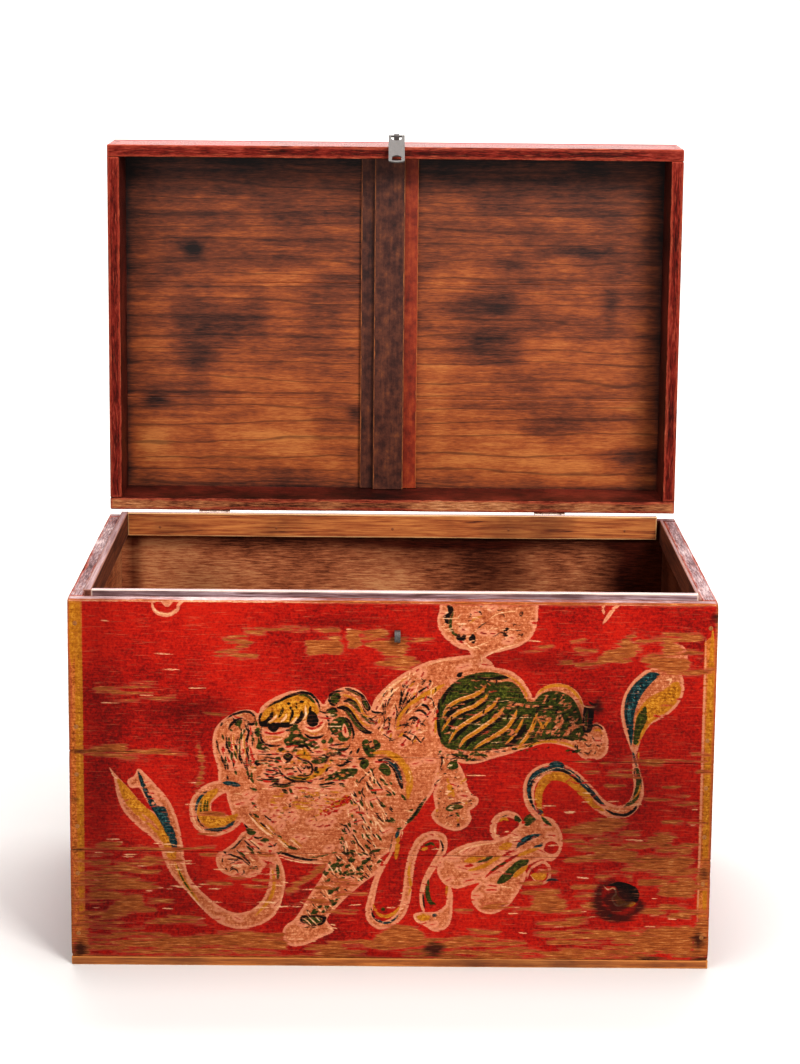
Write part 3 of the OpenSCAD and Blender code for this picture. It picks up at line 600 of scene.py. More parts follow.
stroke("pale", 1.2, (-119, 230), (-114, 225), (-107, 226))
patch("ochre", (-103, 235), (-100, 240), (-94, 242), (-90, 238), (-87, 231), (-90, 228), (-96, 230),
      (-100, 232))
stroke("black", 2.8, (-107, 238), (-104, 242), (-99, 244.5), (-93, 244), (-90, 241), (-87, 238), (-83, 236))
stroke("green", 2.0, (-97, 243), (-94, 238), (-95, 234))
stroke("black", 2.2, (-104, 233), (-99, 230), (-94, 229), (-89, 227))
stroke("pink", 3.0, (-85, 235), (-80, 236), (-77, 234))
stroke("ochre", 1.8, (-86, 239), (-82, 238))
strokes("black", (2.4, (-86, 231), (-80, 230), (-74, 231)), (2.4, (-76, 234), (-71, 234)))
stroke("pale", 1.4, (-77, 232), (-71, 233), (-68, 232))
stroke("black", 2.8, (-68, 233), (-71, 229), (-73, 225))
stroke("ochre", 2.6, (-68, 229), (-66, 225))
patch("pink", (-104, 217), (-102, 224), (-95, 227), (-89, 225), (-86, 219), (-89, 213), (-97, 212))
strokes("black", (2.1, (-99, 228), (-92, 227), (-87, 224), (-86, 218), (-88, 213), (-94, 211), (-100, 213)),
        (2.1, (-98, 222), (-95, 219), (-92, 222), (-90, 218)), (2.1, (-102, 221), (-99, 217), (-97, 214)))
stroke("pale", 1.3, (-101, 224), (-97, 220), (-94, 216))
patch("ochre", (-112, 209), (-103, 207), (-95, 206), (-88, 207), (-82, 210), (-76, 213), (-71, 219),
      (-68, 223), (-72, 224), (-78, 221), (-83, 219), (-86, 213), (-94, 210), (-102, 211))
strokes("green", (2.4, (-112, 211), (-104, 209), (-96, 208), (-88, 210)), (1.8, (-116, 219), (-108, 219)))
strokes("black",
        (2.6, (-122, 220), (-120, 216), (-117, 212), (-113, 209), (-106, 206), (-96, 205), (-86, 206)),
        (2.2, (-84, 220), (-80, 221)), (2.4, (-72, 216), (-69, 220)))
for points in (((-138, 214), (-130, 212), (-122, 213)), ((-142, 209), (-136, 207), (-128, 207), (-121, 208)),
               ((-136, 218), (-128, 217))):
    stroke("black", 1.9, *points)
    stroke("red", 2.0, *[(x + 1, z - 2.2) for x, z in points])
strokes("black", (3.4, (-64, 226), (-59, 224), (-55, 223), (-50, 226), (-46, 228)),
        (1.8, (-58, 230), (-51, 232)))
stroke("red", 2.0, (-57, 235), (-50, 233))
strokes("black", (2.6, (-46, 247), (-48, 243), (-52, 240), (-57, 237), (-62, 235), (-67, 237)),
        (2.6, (-68, 245), (-60, 246), (-52, 247)),
        (2.6, (-52, 276), (-47, 271), (-44, 263), (-42.5, 257), (-44, 250)),
        (2.6, (-36, 243), (-38, 239), (-39, 236)), (2.6, (-44, 239), (-47, 235)),
        (2.6, (-38, 230), (-30, 231)))
for points in (((-131, 200), (-125, 202), (-118, 201), (-110, 203), (-104, 204)),
               ((-80, 201), (-72, 202), (-62, 205)), ((-118, 196), (-112, 194)),
               ((-98, 196), (-93, 190), (-86, 190)), ((-58, 203), (-52, 202))):
    stroke("black", 3.0, *points)
    stroke("green", 2.0, *[(x + 1, z - 2) for x, z in points])
for colour, width, length, lean, count in (("green", 2.2, 6, 4, 30), ("black", 1.8, 6, -2, 34),
                                           ("red", 1.6, 6, 0, 24), ("ochre", 2.0, 5, 10, 10),
                                           ("pale", 1.3, 5, 0, 16)):
    hairs(colour, width, length, (lean, 14), count, (-148, 244), (-120, 243), (-96, 246), (-64, 246),
           (-44, 246), (-40, 226), (-46, 208), (-84, 204), (-120, 204), (-146, 206), (-150, 226))
for colour, width, count in (("green", 2.4, 12), ("black", 1.8, 12), ("red", 1.5, 12), ("pale", 1.2, 10)):
    hairs(colour, width, 9, (100, 8), count, (-184, 250), (-176, 268), (-156, 272), (-148, 250), (-150, 212),
           (-178, 212))

# Face: ear
patch("green", (-67, 291), (-68, 297), (-64, 301), (-59, 302), (-56, 299), (-57, 294), (-62, 290))
strokes("black", (3.0, (-58, 293), (-63, 289), (-67, 291), (-68.5, 296), (-66, 301), (-59, 304), (-52, 304)),
        (2.4, (-62, 298), (-58, 298), (-57, 294)), (4.0, (-52, 307), (-44, 304), (-36, 300), (-31, 297)))
stroke("green", 1.8, (-48, 305), (-42, 302), (-36, 299))
stroke("black", 6.4, (-34, 297), (-31, 292), (-28, 286), (-28, 283))
stroke("green", 3.2, (-33, 295), (-30, 290), (-28, 285))
stroke("black", 7.0, (-53, 293), (-48, 294), (-42, 291), (-37, 286), (-33, 280), (-29, 275), (-24, 271),
       (-18, 270))
stroke("green", 3.6, (-49, 293), (-42, 290), (-37, 284), (-33, 278), (-28, 273), (-20, 269))
stroke("black", 6.6, (-60, 286), (-54, 286), (-49, 283), (-44, 276), (-40, 270), (-35, 264), (-29, 260),
       (-23, 259))
stroke("green", 3.2, (-52, 284), (-47, 279), (-42, 271), (-37, 265), (-30, 261))
strokes("ochre",
        (2.8, (-56, 300), (-50, 299), (-43, 296), (-38, 292), (-35, 286), (-33, 281), (-29, 277),
         (-20, 276)),
        (2.4, (-58, 289), (-50, 289), (-45, 285), (-40, 278), (-36, 272), (-31, 268), (-24, 266)))
stroke("pale", 1.2, (-40, 297), (-36, 291), (-33, 284))
stroke("black", 3.0, (-24, 283), (-20, 281), (-13, 281))
patch("green", (-71, 280), (-68, 284), (-63, 284), (-60, 281), (-65, 280))
stroke("black", 2.4, (-73, 280), (-69, 284), (-63, 285), (-59, 281))

# Shoulder, chest and belly
stroke("ochre", 8.0, (-22, 237), (-8, 237), (4, 231), (13, 220), (17, 207), (16, 196), (15, 187))
stroke("pale", 1.2, (15, 220), (18, 212), (17, 204))
stroke("black", 7.5, (-16, 229), (-6, 228), (2, 221), (6, 210), (9, 198))
stroke("teal", 4.0, (-12, 229), (-2, 226), (5, 216), (9, 203))
for x, z in ((-12, 226), (-6, 224), (-2, 220), (1, 215), (3, 209), (5, 203), (8, 207), (5, 219), (0, 226)):
    spot("pale", x, z, 0.9, 0.7)
patch("green", (-16, 220), (-12, 226), (-5, 222), (-3, 214), (-8, 212))
strokes("black", (2.0, (-39, 201), (-33, 209), (-26, 216), (-18, 222)),
        (2.4, (-29, 206), (-25, 198), (-19, 192)))
strokes("pale", (2.0, (-24, 214), (-18, 205), (-12, 197)), (2.0, (-14, 213), (-8, 205), (-4, 197)))
stroke("black", 1.8, (-20, 210), (-15, 202), (-11, 196))
stroke("green", 2.6, (-8, 191), (-2, 191))
stroke("red", 1.4, (-106, 199), (-90, 198), (-72, 197), (-56, 198))
stroke("pale", 1.2, (-92, 199), (-78, 197), (-66, 196))
strokes("black", (2.2, (-167, 178), (-163, 175)), (2.6, (-166, 173), (-161, 169)),
        (2.2, (-160, 171), (-153, 171), (-149, 165), (-144, 160)), (1.8, (-158, 176), (-155, 176)),
        (2.4, (-158, 158), (-154, 153), (-150, 149)), (2.0, (-143, 161), (-138, 157), (-133, 152)),
        (2.4, (-131, 152), (-127, 148), (-122, 145)), (2.2, (-118, 138), (-111, 134), (-104, 132)),
        (2.2, (-148, 144), (-143, 142), (-138, 144)), (2.2, (-133, 133), (-127, 134), (-123, 137)),
        (1.8, (-152, 198), (-146, 194)), (1.8, (-150, 182), (-144, 178)), (1.6, (-128, 190), (-122, 188)),
        (1.8, (-137, 168), (-131, 163), (-126, 159)), (1.6, (-168, 190), (-162, 188)),
        (1.6, (-53, 158), (-50, 157), (-52, 153)), (1.6, (-49, 159), (-46, 157)),
        (1.6, (-58, 181), (-53, 185)), (1.4, (-84, 167), (-81, 162)), (1.4, (-56, 130), (-52, 138)))
patch("green", (-156, 152), (-151, 153), (-145, 149), (-149, 145), (-154, 147))
spot("green", -136, 140, 5, 2.6)
strokes("green", (3.0, (-150, 182), (-145, 176)), (3.0, (-110, 198), (-107, 191)),
        (3.0, (-166, 189), (-161, 189)), (3.0, (-148, 169), (-142, 165)),
        (3.0, (-116, 135), (-108, 132), (-101, 130)), (3.0, (-150, 197), (-144, 195)),
        (3.0, (-124, 148), (-118, 142)), (3.0, (-53, 136), (-50, 128)), (3.0, (-120, 173), (-116, 170)))
for width, points in ((2.6, ((-154, 169), (-147, 161), (-141, 154), (-134, 148), (-127, 143))),
                      (2.2, ((-123, 142), (-117, 137), (-111, 132))),
                      (2.0, ((-110, 142), (-103, 136), (-98, 131))),
                      (1.8, ((-135, 157), (-130, 151), (-126, 147))), (1.8, ((-150, 173), (-145, 172)))):
    stroke("pale", width, *points)
    stroke("ochre", 1.6, *[(x + 1.8, z + 1.6) for x, z in points])
stroke("black", 3.2, (-124, 127), (-114, 125), (-106, 122), (-97, 120), (-88, 119), (-79, 119))
stroke("pale", 1.2, (-106, 124), (-98, 122.6), (-90, 122))
stroke("green", 2.0, (-92, 122), (-80, 122), (-68, 125))
stroke("pale", 1.6, (-124, 123), (-104, 117), (-84, 115), (-66, 115))
hairs("black", 1.4, 3, (30, 40), 30, (-112, 170), (-90, 176), (-62, 184), (-60, 192), (-104, 188))
hairs("red", 2.2, 5, (40, 25), 40, (-76, 168), (-62, 172), (-44, 186), (-46, 194), (-60, 184), (-76, 172))
hairs("black", 1.2, 3, (40, 30), 14, (-72, 170), (-58, 176), (-46, 188), (-50, 190), (-62, 182))
hairs("ochre", 2.0, 8, (0, 12), 40, (-126, 190), (-120, 174), (-70, 176), (-54, 190), (-80, 196))
strokes("pale", (1.8, (-44, 168), (-39, 158)), (1.8, (-37, 173), (-31, 164), (-23, 152)),
        (1.8, (-23, 170), (-17, 161), (-9, 151)), (1.8, (-43, 150), (-38, 141), (-31, 132)),
        (1.8, (-34, 150), (-28, 141)), (1.8, (-22, 140), (-18, 132)), (1.8, (-30, 184), (-26, 176)),
        (1.8, (-20, 186), (-12, 176), (-6, 166)))
strokes("black", (1.7, (-40, 174), (-34, 168), (-28, 158)), (1.7, (-45, 150), (-40, 143), (-36, 134)),
        (1.7, (-28, 158), (-22, 150)), (1.7, (-34, 190), (-33, 182)), (1.7, (-58, 160), (-50, 156)),
        (1.7, (-50, 158), (-46, 150)), (1.7, (-36, 136), (-30, 128)), (1.7, (-18, 170), (-10, 160)),
        (1.7, (-32, 200), (-34, 192)))
strokes("green", (3.0, (-36, 186), (-32, 178)), (3.0, (-12, 163), (0, 162), (6, 161)),
        (3.0, (-29, 148), (-24, 142)), (3.0, (-14, 180), (-8, 178)), (3.0, (-24, 200), (-22, 192)),
        (3.0, (8, 192), (14, 184)), (3.0, (-18, 148), (-12, 140)),
        (4.2, (35, 189), (29, 180), (24, 171), (17, 163), (13, 159)))
stroke("black", 2.0, (33, 188), (27, 177), (21, 167), (15, 161))
for x, z in ((-80, 168), (-76, 172), (-70, 174), (-64, 178), (-58, 182), (-54, 186), (-48, 190), (-84, 164),
             (-60, 176), (-52, 180), (-46, 184), (-116, 172), (-124, 176), (-108, 168), (-128, 182),
             (-120, 166), (-98, 176), (-104, 182), (-44, 170), (-40, 180)):
    stroke("ochre", 1.8, (x - 3, z - 1), (x + 2, z + 1))

# Left paw
strokes("black", (2.0, (-157, 144), (-163, 138), (-168, 132), (-173, 130)),
        (2.2, (-181, 122), (-174, 124), (-168, 122), (-162, 120), (-157, 116), (-151, 111)),
        (1.6, (-181, 120), (-181, 115)), (1.6, (-176, 119), (-168, 118), (-161, 118)),
        (1.6, (-163, 121), (-168, 116), (-173, 114)), (1.6, (-166, 116), (-161, 115)),
        (1.8, (-178, 109), (-176, 107)), (1.8, (-173, 108), (-167, 112), (-163, 110)),
        (1.8, (-174, 105), (-170, 108), (-166, 107), (-164, 103)),
        (1.4, (-159, 108), (-158, 104), (-161, 101)), (2.2, (-158, 140), (-152, 134), (-147, 129)),
        (2.2, (-154, 142), (-147, 136), (-141, 129)),
        (2.2, (-166, 129), (-160, 123), (-154, 117), (-151, 113)), (2.0, (-180, 127), (-177, 125)),
        (1.8, (-151, 127), (-146, 121)), (3.0, (-153, 108), (-146, 110), (-143, 107)))
strokes("pale", (2.0, (-156, 144), (-148, 138), (-140, 131)),
        (2.4, (-160, 129), (-154, 125), (-150, 119), (-145, 116)),
        (2.0, (-151, 131), (-145, 125), (-141, 121)), (1.4, (-172, 121), (-165, 120)))
strokes("green", (2.8, (-156, 134), (-150, 129), (-147, 123)), (2.8, (-163, 127), (-157, 122)),
        (2.8, (-150, 109), (-145, 109)), (2.8, (-144, 128), (-139, 124)))

# Front leg and its paw
for x, z in ((-60, 114), (-57, 119), (-48, 112), (-42, 104), (-50, 105), (-36, 110), (-30, 116), (-26, 120),
             (-43, 118), (-34, 98), (-66, 82), (-74, 72), (-62, 70), (-78, 66), (-68, 62), (-58, 76),
             (-54, 98), (-22, 128), (-16, 130), (-48, 126), (-82, 60)):
    stroke("green", 3.2, (x - 3, z - 2), (x + 3, z + 2))
    stroke("black", 1.1, (x - 3, z + 1), (x + 2, z - 2))
for x, z in ((-52, 118), (-45, 110), (-38, 104), (-58, 108), (-32, 120), (-70, 76), (-64, 66), (-76, 62)):
    stroke("pale", 1.3, (x - 4, z + 3), (x + 3, z - 3))
patch("black", (-97, 56), (-88, 57), (-74, 57), (-70, 54), (-74, 47), (-82, 45), (-92, 47), (-98, 50))
patch("green", (-95, 53), (-86, 55), (-76, 54), (-76, 49), (-86, 47), (-94, 49))
strokes("pale", (1.4, (-96, 54), (-90, 50), (-86, 45)), (1.4, (-90, 56), (-84, 50), (-79, 45)),
        (1.4, (-82, 56), (-77, 50)))
stroke("black", 1.4, (-97, 42), (-88, 44), (-80, 43))
strokes("pale", (1.4, (-70, 44), (-62, 40)), (1.4, (-72, 39), (-64, 43), (-58, 42)),
        (1.4, (-66, 47), (-60, 46)))
for x, z in ((-104, 36), (-98, 30), (-90, 36), (-84, 28), (-78, 34), (-108, 30), (-94, 42)):
    stroke("pale", 1.2, (x - 3, z), (x + 3, z))

# Ribbon on the left: two tails, a loop under the paw, and its pointed end
patch("pink", (-300, 219), (-295, 206), (-293, 192), (-288, 176), (-280, 164), (-268, 152), (-255, 141),
      (-247, 130), (-243, 117), (-237, 104), (-228, 92), (-219, 82), (-208, 69), (-196, 56), (-182, 46),
      (-164, 41), (-145, 44), (-126, 56), (-117, 76), (-114, 96), (-118, 115), (-127, 131), (-131, 118),
      (-131, 98), (-137, 77), (-150, 63), (-166, 59), (-182, 65), (-196, 76), (-208, 88), (-217, 101),
      (-221, 118), (-223, 135), (-226, 152), (-231, 170), (-239, 186), (-250, 199), (-260, 210), (-269, 218),
      (-274, 210), (-281, 205), (-278, 197), (-268, 196), (-262, 184), (-253, 171), (-262, 176), (-272, 187),
      (-282, 199), (-292, 210))
patch("ochre", (-292, 207), (-289, 194), (-284, 181), (-275, 170), (-262, 158), (-251, 146), (-243, 133),
      (-239, 120), (-231, 117), (-230, 130), (-236, 143), (-243, 155), (-252, 167), (-263, 177), (-274, 189),
      (-284, 201))
stroke("green", 3.0, (-232, 128), (-237, 142), (-243, 153))
stroke("pink", 3.4, (-266, 168), (-256, 159), (-248, 150))
patch("teal", (-270, 215), (-265, 208), (-262, 198), (-256, 188), (-250, 178), (-242, 176), (-239, 170),
      (-236, 160), (-232, 150), (-229, 140), (-229, 130), (-234, 130), (-238, 142), (-244, 154), (-251, 167),
      (-257, 176), (-262, 188), (-267, 200))
stroke("black", 1.4, (-269, 214), (-262, 199), (-256, 184), (-251, 174))
for x, z in ((-262, 203), (-258, 190), (-254, 180), (-252, 186), (-247, 178), (-259, 197), (-235, 158)):
    spot("pink", x, z, 2.0, 1.5)
stroke("ochre", 4.0, (-232, 116), (-227, 104), (-221, 93), (-214, 82), (-206, 71))
stroke("green", 1.8, (-229, 112), (-225, 100), (-219, 89), (-212, 79))
stroke("pale", 1.4, (-221, 86), (-214, 78), (-207, 69), (-200, 61))
stroke("green", 3.6, (-123, 114), (-122, 105), (-122, 96))
stroke("ochre", 4.0, (-128, 108), (-126, 92), (-131, 74), (-146, 56))
strokes("pale", (1.0, (-117, 80), (-120, 68), (-127, 58)), (1.2, (-299, 218), (-296, 210), (-291, 206)))

# Ribbon in a hook in front of the chest
patch("pink", (-164, 205), (-178, 206), (-191, 204), (-203, 198), (-212, 188), (-216, 175), (-214, 160),
      (-206, 149), (-193, 144), (-180, 146), (-168, 152), (-158, 163), (-150, 178))
patch("red", (-177, 192), (-186, 187), (-192, 180), (-192, 172), (-186, 169), (-177, 168), (-171, 167),
      (-173, 176), (-176, 186))
patch("ochre", (-186, 197), (-196, 193), (-204, 186), (-208, 176), (-207, 166), (-202, 158), (-194, 153),
      (-184, 153), (-175, 156), (-167, 162), (-164, 169), (-170, 168), (-180, 166), (-189, 168), (-194, 174),
      (-193, 183), (-187, 190))
for x in (-203, -199, -196):
    stroke("green", 2.4, (x, 184), (x - 1, 175), (x, 167))
stroke("teal", 3.4, (-197, 194), (-204, 187), (-208, 178), (-209, 170))
stroke("black", 1.8, (-208, 167), (-205, 159), (-200, 154))
stroke("teal", 4.4, (-200, 151.5), (-190, 151), (-180, 152.5), (-172, 157), (-168, 161))
stroke("black", 1.6, (-199, 150), (-188, 149.5), (-178, 151.5))
stroke("pale", 1.4, (-212, 184), (-213, 172), (-210, 160), (-202, 150), (-190, 146), (-178, 149))
stroke("teal", 5.6, (-180, 203), (-171, 202), (-162, 200))

# Ribbons below the chest
strokes("pink",
        (9.5, (-1, 128), (-9, 114), (-16, 101), (-20, 88), (-23, 74), (-25, 62), (-22, 52), (-12, 46),
         (0, 50), (9, 60), (14, 74), (16, 92), (18, 110), (22, 128), (30, 142), (42, 147), (52, 144),
         (53, 132), (46, 118), (38, 104), (32, 88), (31, 72), (34, 60)),
        (8.0, (5, 168), (3, 152), (1, 138), (-2, 126)), (7.0, (60, 92), (61, 78), (59, 64), (52, 52)))
patch("pink", (22, 58), (26, 50), (34, 46), (44, 40), (54, 41), (62, 50), (64, 66), (60, 72), (50, 64),
      (40, 62), (30, 62))
stroke("ochre", 5.0, (4, 150), (5, 140), (4, 128), (3, 120))
stroke("teal", 4.0, (8, 156), (5, 150), (3, 143))
stroke("black", 1.4, (-1, 146), (-2, 136), (-4, 128))
stroke("pale", 1.2, (8, 158), (10, 150), (8, 142))
stroke("green", 3.0, (27, 129), (33, 134), (40, 138), (46, 133))
stroke("ochre", 4.0, (30, 131), (37, 133))
stroke("black", 2.0, (50, 142), (53, 134), (52, 128))
stroke("ochre", 4.0, (-21, 70), (-16, 60), (-8, 56), (2, 60), (8, 68))
stroke("black", 3.0, (-23, 66), (-20, 56), (-12, 50), (-2, 50), (6, 58))
stroke("teal", 2.4, (-18, 54), (-8, 49), (1, 52), (7, 59))
for x, z in ((-22, 62), (-18, 54), (-10, 50), (-2, 51), (4, 56), (-15, 52)):
    spot("pale", x, z, 0.9, 0.8)
spot("green", -10, 64, 2.4, 3)
stroke("green", 5.0, (38, 98), (37, 84), (40, 73), (46, 70))
stroke("black", 2.0, (32, 84), (33, 74), (34, 66))
strokes("ochre", (3.4, (18, 118), (17, 104), (19, 92), (17, 80)), (3.0, (58, 92), (57, 80)))
spot("teal", 45, 58, 3.4, 1.8)
patch("ochre", (26, 56), (32, 60), (40, 58), (38, 52), (30, 52))
stroke("pale", 1.4, (24, 58), (25, 52), (31, 50))
for x, z in ((9, 74), (8, 68), (11, 82), (-24, 78), (-26, 84), (10, 64), (14, 70)):
    stroke("pale", 1.1, (x - 3, z), (x + 2, z + 1))

# The paw hanging behind the shoulder
patch("pink", (48, 240), (56, 240), (62, 232), (70, 224), (75, 213), (78, 202), (82, 194), (90, 188),
      (88, 180), (81, 174), (83, 166), (78, 157), (68, 152), (57, 154), (46, 160), (40, 169), (44, 178),
      (42, 192), (46, 206), (44, 222))
strokes("black", (1.8, (50, 236), (51, 228), (49, 220)), (1.8, (56, 224), (62, 228), (66, 222)),
        (1.8, (42, 200), (46, 206), (50, 209)), (1.8, (60, 182), (68, 183), (76, 184)),
        (1.8, (56, 176), (62, 174)), (1.8, (78, 184), (83, 186)), (1.8, (58, 168), (64, 170)),
        (1.8, (52, 214), (58, 216)))
patch("green", (56, 221), (59, 228), (65, 229), (68, 223), (63, 218))
patch("green", (55, 176), (60, 181), (70, 181), (74, 178), (66, 175), (60, 173))
stroke("green", 3.0, (66, 172), (70, 168))
stroke("ochre", 6.0, (58, 206), (60, 198), (64, 190))
strokes("pale", (1.6, (54, 196), (62, 195)), (1.6, (56, 188), (64, 187)), (1.6, (52, 232), (53, 224)),
        (1.6, (68, 186), (76, 182)))
for x, z in ((52, 168), (64, 162), (58, 160), (74, 166), (48, 172), (70, 158), (66, 168), (54, 182),
             (78, 190), (72, 196), (66, 210), (74, 204), (60, 214)):
    spot("black", x, z, 0.8, 0.7)

# Ribbon knot on the right: petals, a small curl and short tails
patch("pink", (47, 108), (52, 120), (62, 130), (76, 137), (92, 141), (108, 142), (120, 147), (132, 157),
      (146, 166), (158, 169), (170, 165), (178, 152), (180, 138), (176, 126), (168, 119), (158, 121),
      (148, 117), (140, 111), (142, 104), (138, 92), (130, 78), (122, 68), (108, 60), (94, 62), (85, 72),
      (84, 84), (92, 94), (82, 92), (70, 88), (60, 90), (52, 96))
stroke("pink", 7.5, (121, 146), (113, 143), (107, 148), (106, 158), (111, 167), (121, 171), (130, 168),
       (135, 160), (135, 150))
strokes("ochre", (7.0, (76, 118), (84, 120), (92, 121), (100, 123)),
        (8.0, (112, 133), (119, 135), (126, 138)))
stroke("green", 4.0, (88, 116), (98, 120), (106, 124))
stroke("ochre", 4.6, (80, 108), (94, 112), (104, 118), (116, 126))
strokes("red", (3.0, (76, 113), (86, 114)), (3.4, (116, 124), (124, 128), (130, 131)),
        (3.2, (98, 100), (106, 108), (116, 115), (126, 122), (138, 129)))
stroke("green", 2.4, (104, 107), (112, 113), (122, 119))
stroke("pale", 1.6, (64, 124), (78, 133), (94, 137), (110, 139))
patch("teal", (130, 132), (133, 140), (139, 146), (148, 149), (157, 149), (157, 144), (148, 141), (141, 137),
      (135, 132))
stroke("black", 1.8, (132, 133), (139, 140), (148, 146), (157, 147))
stroke("teal", 4.0, (149, 134), (154, 136), (160, 139))
stroke("pink", 4.4, (120, 124), (132, 131), (146, 140), (160, 148))
patch("green", (111, 94), (114, 101), (121, 109), (128, 116), (136, 121), (144, 121), (142, 114), (134, 107),
      (127, 101), (119, 95))
strokes("ochre", (6.0, (128, 101), (135, 107), (143, 114)), (4.4, (132, 124), (142, 129), (156, 134)))
patch("red", (160, 132), (164, 140), (171, 141), (176, 135), (172, 128), (165, 128))
stroke("pink", 3.6, (143, 100), (145, 108), (152, 115), (160, 118), (166, 112), (166, 100), (158, 94),
       (149, 97))
patch("ochre", (147, 104), (152, 98), (160, 98), (164, 104), (162, 110), (155, 107))
stroke("ochre", 3.4, (112, 163), (117, 166), (122, 164))
patch("green", (130, 170), (128, 165), (133, 160), (136, 164))
stroke("black", 1.2, (112, 166), (118, 169), (124, 170))
strokes("pale", (2.2, (107, 156), (109, 148), (113, 147)), (1.6, (118, 151), (123, 152)),
        (1.2, (146, 104), (152, 97), (160, 93)))
stroke("teal", 3.0, (163, 97), (170, 99), (177, 98))
spot("teal", 117, 70, 3, 1.6)
patch("green", (138, 166), (146, 172), (152, 167), (146, 160), (140, 158))

# The long waving ribbon on the right
waving = ((160, 163), (150, 172), (144, 184), (143, 200), (149, 213), (163, 220), (180, 218), (196, 206),
          (208, 193), (218, 182), (232, 175), (247, 176), (257, 188), (259, 203), (256, 220), (253, 238))
stroke("pink", 15.0, *waving)
stroke("ochre", 10.0, (158, 170), (154, 182), (154, 196), (160, 208), (170, 213), (182, 211), (193, 203),
       (203, 192), (212, 182), (222, 176))
strokes("teal",
        (6.0, (150, 176), (145, 187), (143, 200), (147, 212), (156, 219), (167, 222), (178, 221), (189, 215),
         (199, 206), (209, 196), (217, 187), (224, 181)), (5.0, (164, 226), (172, 227), (180, 225)))
strokes("black", (2.4, (148, 178), (145, 188), (145, 198)), (2.4, (141, 202), (147, 203)),
        (2.4, (143, 208), (150, 206)), (2.4, (147, 212), (154, 214), (163, 219)),
        (2.4, (168, 219), (180, 219), (190, 212), (200, 203)), (2.4, (204, 200), (213, 189), (221, 182)))
strokes("pale", (1.0, (141, 200), (147, 210), (158, 217), (172, 222), (184, 219), (196, 210), (206, 200)),
        (1.0, (150, 206), (154, 212), (162, 218)))
patch("teal", (151, 174), (155, 177), (159, 173), (155, 170))
stroke("green", 4.0, (157, 168), (162, 163), (168, 158))
stroke("black", 3.4, (224, 177), (234, 172), (246, 171), (255, 177), (259, 185))
stroke("pale", 1.0, (230, 177), (240, 175), (248, 177))
stroke("green", 6.4, (244, 180), (254, 187), (258, 198), (259, 210), (256, 226))
stroke("black", 1.8, (256, 226), (254, 218), (256, 210))
stroke("ochre", 2.0, (252, 187), (259, 196), (261, 206))
stroke("pale", 1.2, (251, 225), (253, 214), (254, 206))
patch("pink", (251, 240), (246, 252), (241, 266), (238, 284), (241, 302), (249, 316), (260, 327), (272, 334),
      (284, 338), (296, 332), (303, 320), (304, 306), (298, 292), (286, 280), (270, 270), (262, 258),
      (258, 246), (256, 238))
patch("teal", (250, 247), (246, 262), (242, 280), (243, 298), (250, 312), (259, 321), (268, 327), (278, 325),
      (270, 316), (262, 306), (256, 294), (252, 278), (252, 262))
patch("ochre", (256, 246), (254, 262), (254, 276), (259, 290), (268, 300), (282, 308), (296, 318),
      (301, 308), (296, 294), (284, 282), (270, 272), (262, 258))
patch("green", (252, 250), (253, 266), (256, 280), (264, 290), (266, 276), (260, 262), (257, 250))
stroke("black", 1.4, (250, 246), (247, 262), (244, 280), (246, 298), (254, 312))
stroke("teal", 3.4, (252, 240), (254, 232), (256, 226))
stroke("ochre", 2.0, (258, 240), (258, 232))
for x, z in ((252, 300), (258, 312), (264, 318), (256, 306), (270, 303), (276, 307), (268, 296)):
    spot("pale", x, z, 0.8, 0.6)
stroke("pale", 1.8, (284, 318), (290, 320), (288, 314))
spot("teal", 277, 337, 3, 2.8)
patch("pink", (284, 338), (282, 350), (288, 358), (298, 358), (306, 350), (306, 338), (300, 330), (292, 330))

# Parts of motifs that went on over the lid
stroke("pink", 4.4, (-254, 400), (-252, 391), (-246, 386), (-236, 385), (-228, 390), (-225, 397),
       (-216, 402))
stroke("pale", 1.8, (-253, 395), (-250, 389), (-243, 386), (-234, 386), (-228, 391))
patch("pink", (-245, 404), (-243, 397), (-238, 393), (-233, 397), (-231, 404))
strokes("pink", (3.0, (-262, 402), (-254, 399), (-246, 401)), (3.6, (218, 389), (217, 396), (219, 402)),
        (4.2, (237, 402), (228, 395), (222, 386), (217, 379)))
stroke("pale", 1.2, (236, 401), (228, 393), (223, 385))

# The fine brush marks over the lion, and the scuffs through its pink ground
shoulder = ((-46, 190), (-30, 218), (-6, 212), (2, 186), (-4, 150), (-20, 128), (-50, 126), (-56, 150))
hairs("green", 2.8, 6, (-58, 16), 30, *shoulder)
hairs("black", 1.6, 7, (-60, 16), 36, *shoulder)
hairs("pale", 1.6, 9, (-58, 16), 34, *shoulder)
under = ((-128, 128), (-60, 116), (-20, 118), (6, 150), (28, 176), (20, 180), (-6, 140), (-60, 128),
         (-122, 138))
hairs("green", 2.4, 5, (10, 16), 18, *under)
hairs("pale", 1.4, 6, (-20, 16), 18, *under)
thigh = ((-64, 120), (-80, 92), (-98, 64), (-74, 60), (-52, 78), (-14, 116), (-30, 132))
hairs("green", 3.2, 6, (42, 16), 44, *thigh)
hairs("black", 1.3, 8, (-46, 16), 34, *thigh)
hairs("pale", 1.3, 8, (-48, 16), 34, *thigh)
rump = ((-20, 268), (-18, 292), (4, 314), (34, 330), (46, 300), (42, 262), (10, 246))
hairs("black", 1.6, 8, (60, 16), 34, *rump)
hairs("red", 1.8, 6, (60, 16), 24, *rump)
hairs("pale", 1.4, 9, (62, 16), 22, *rump)
hairs("ochre", 2.2, 6, (55, 16), 12, *rump)
loin = ((44, 240), (62, 228), (110, 236), (190, 244), (196, 238), (150, 246), (110, 242), (60, 238))
hairs("green", 2.4, 5, (8, 16), 22, *loin)
hairs("black", 1.4, 6, (10, 16), 22, *loin)
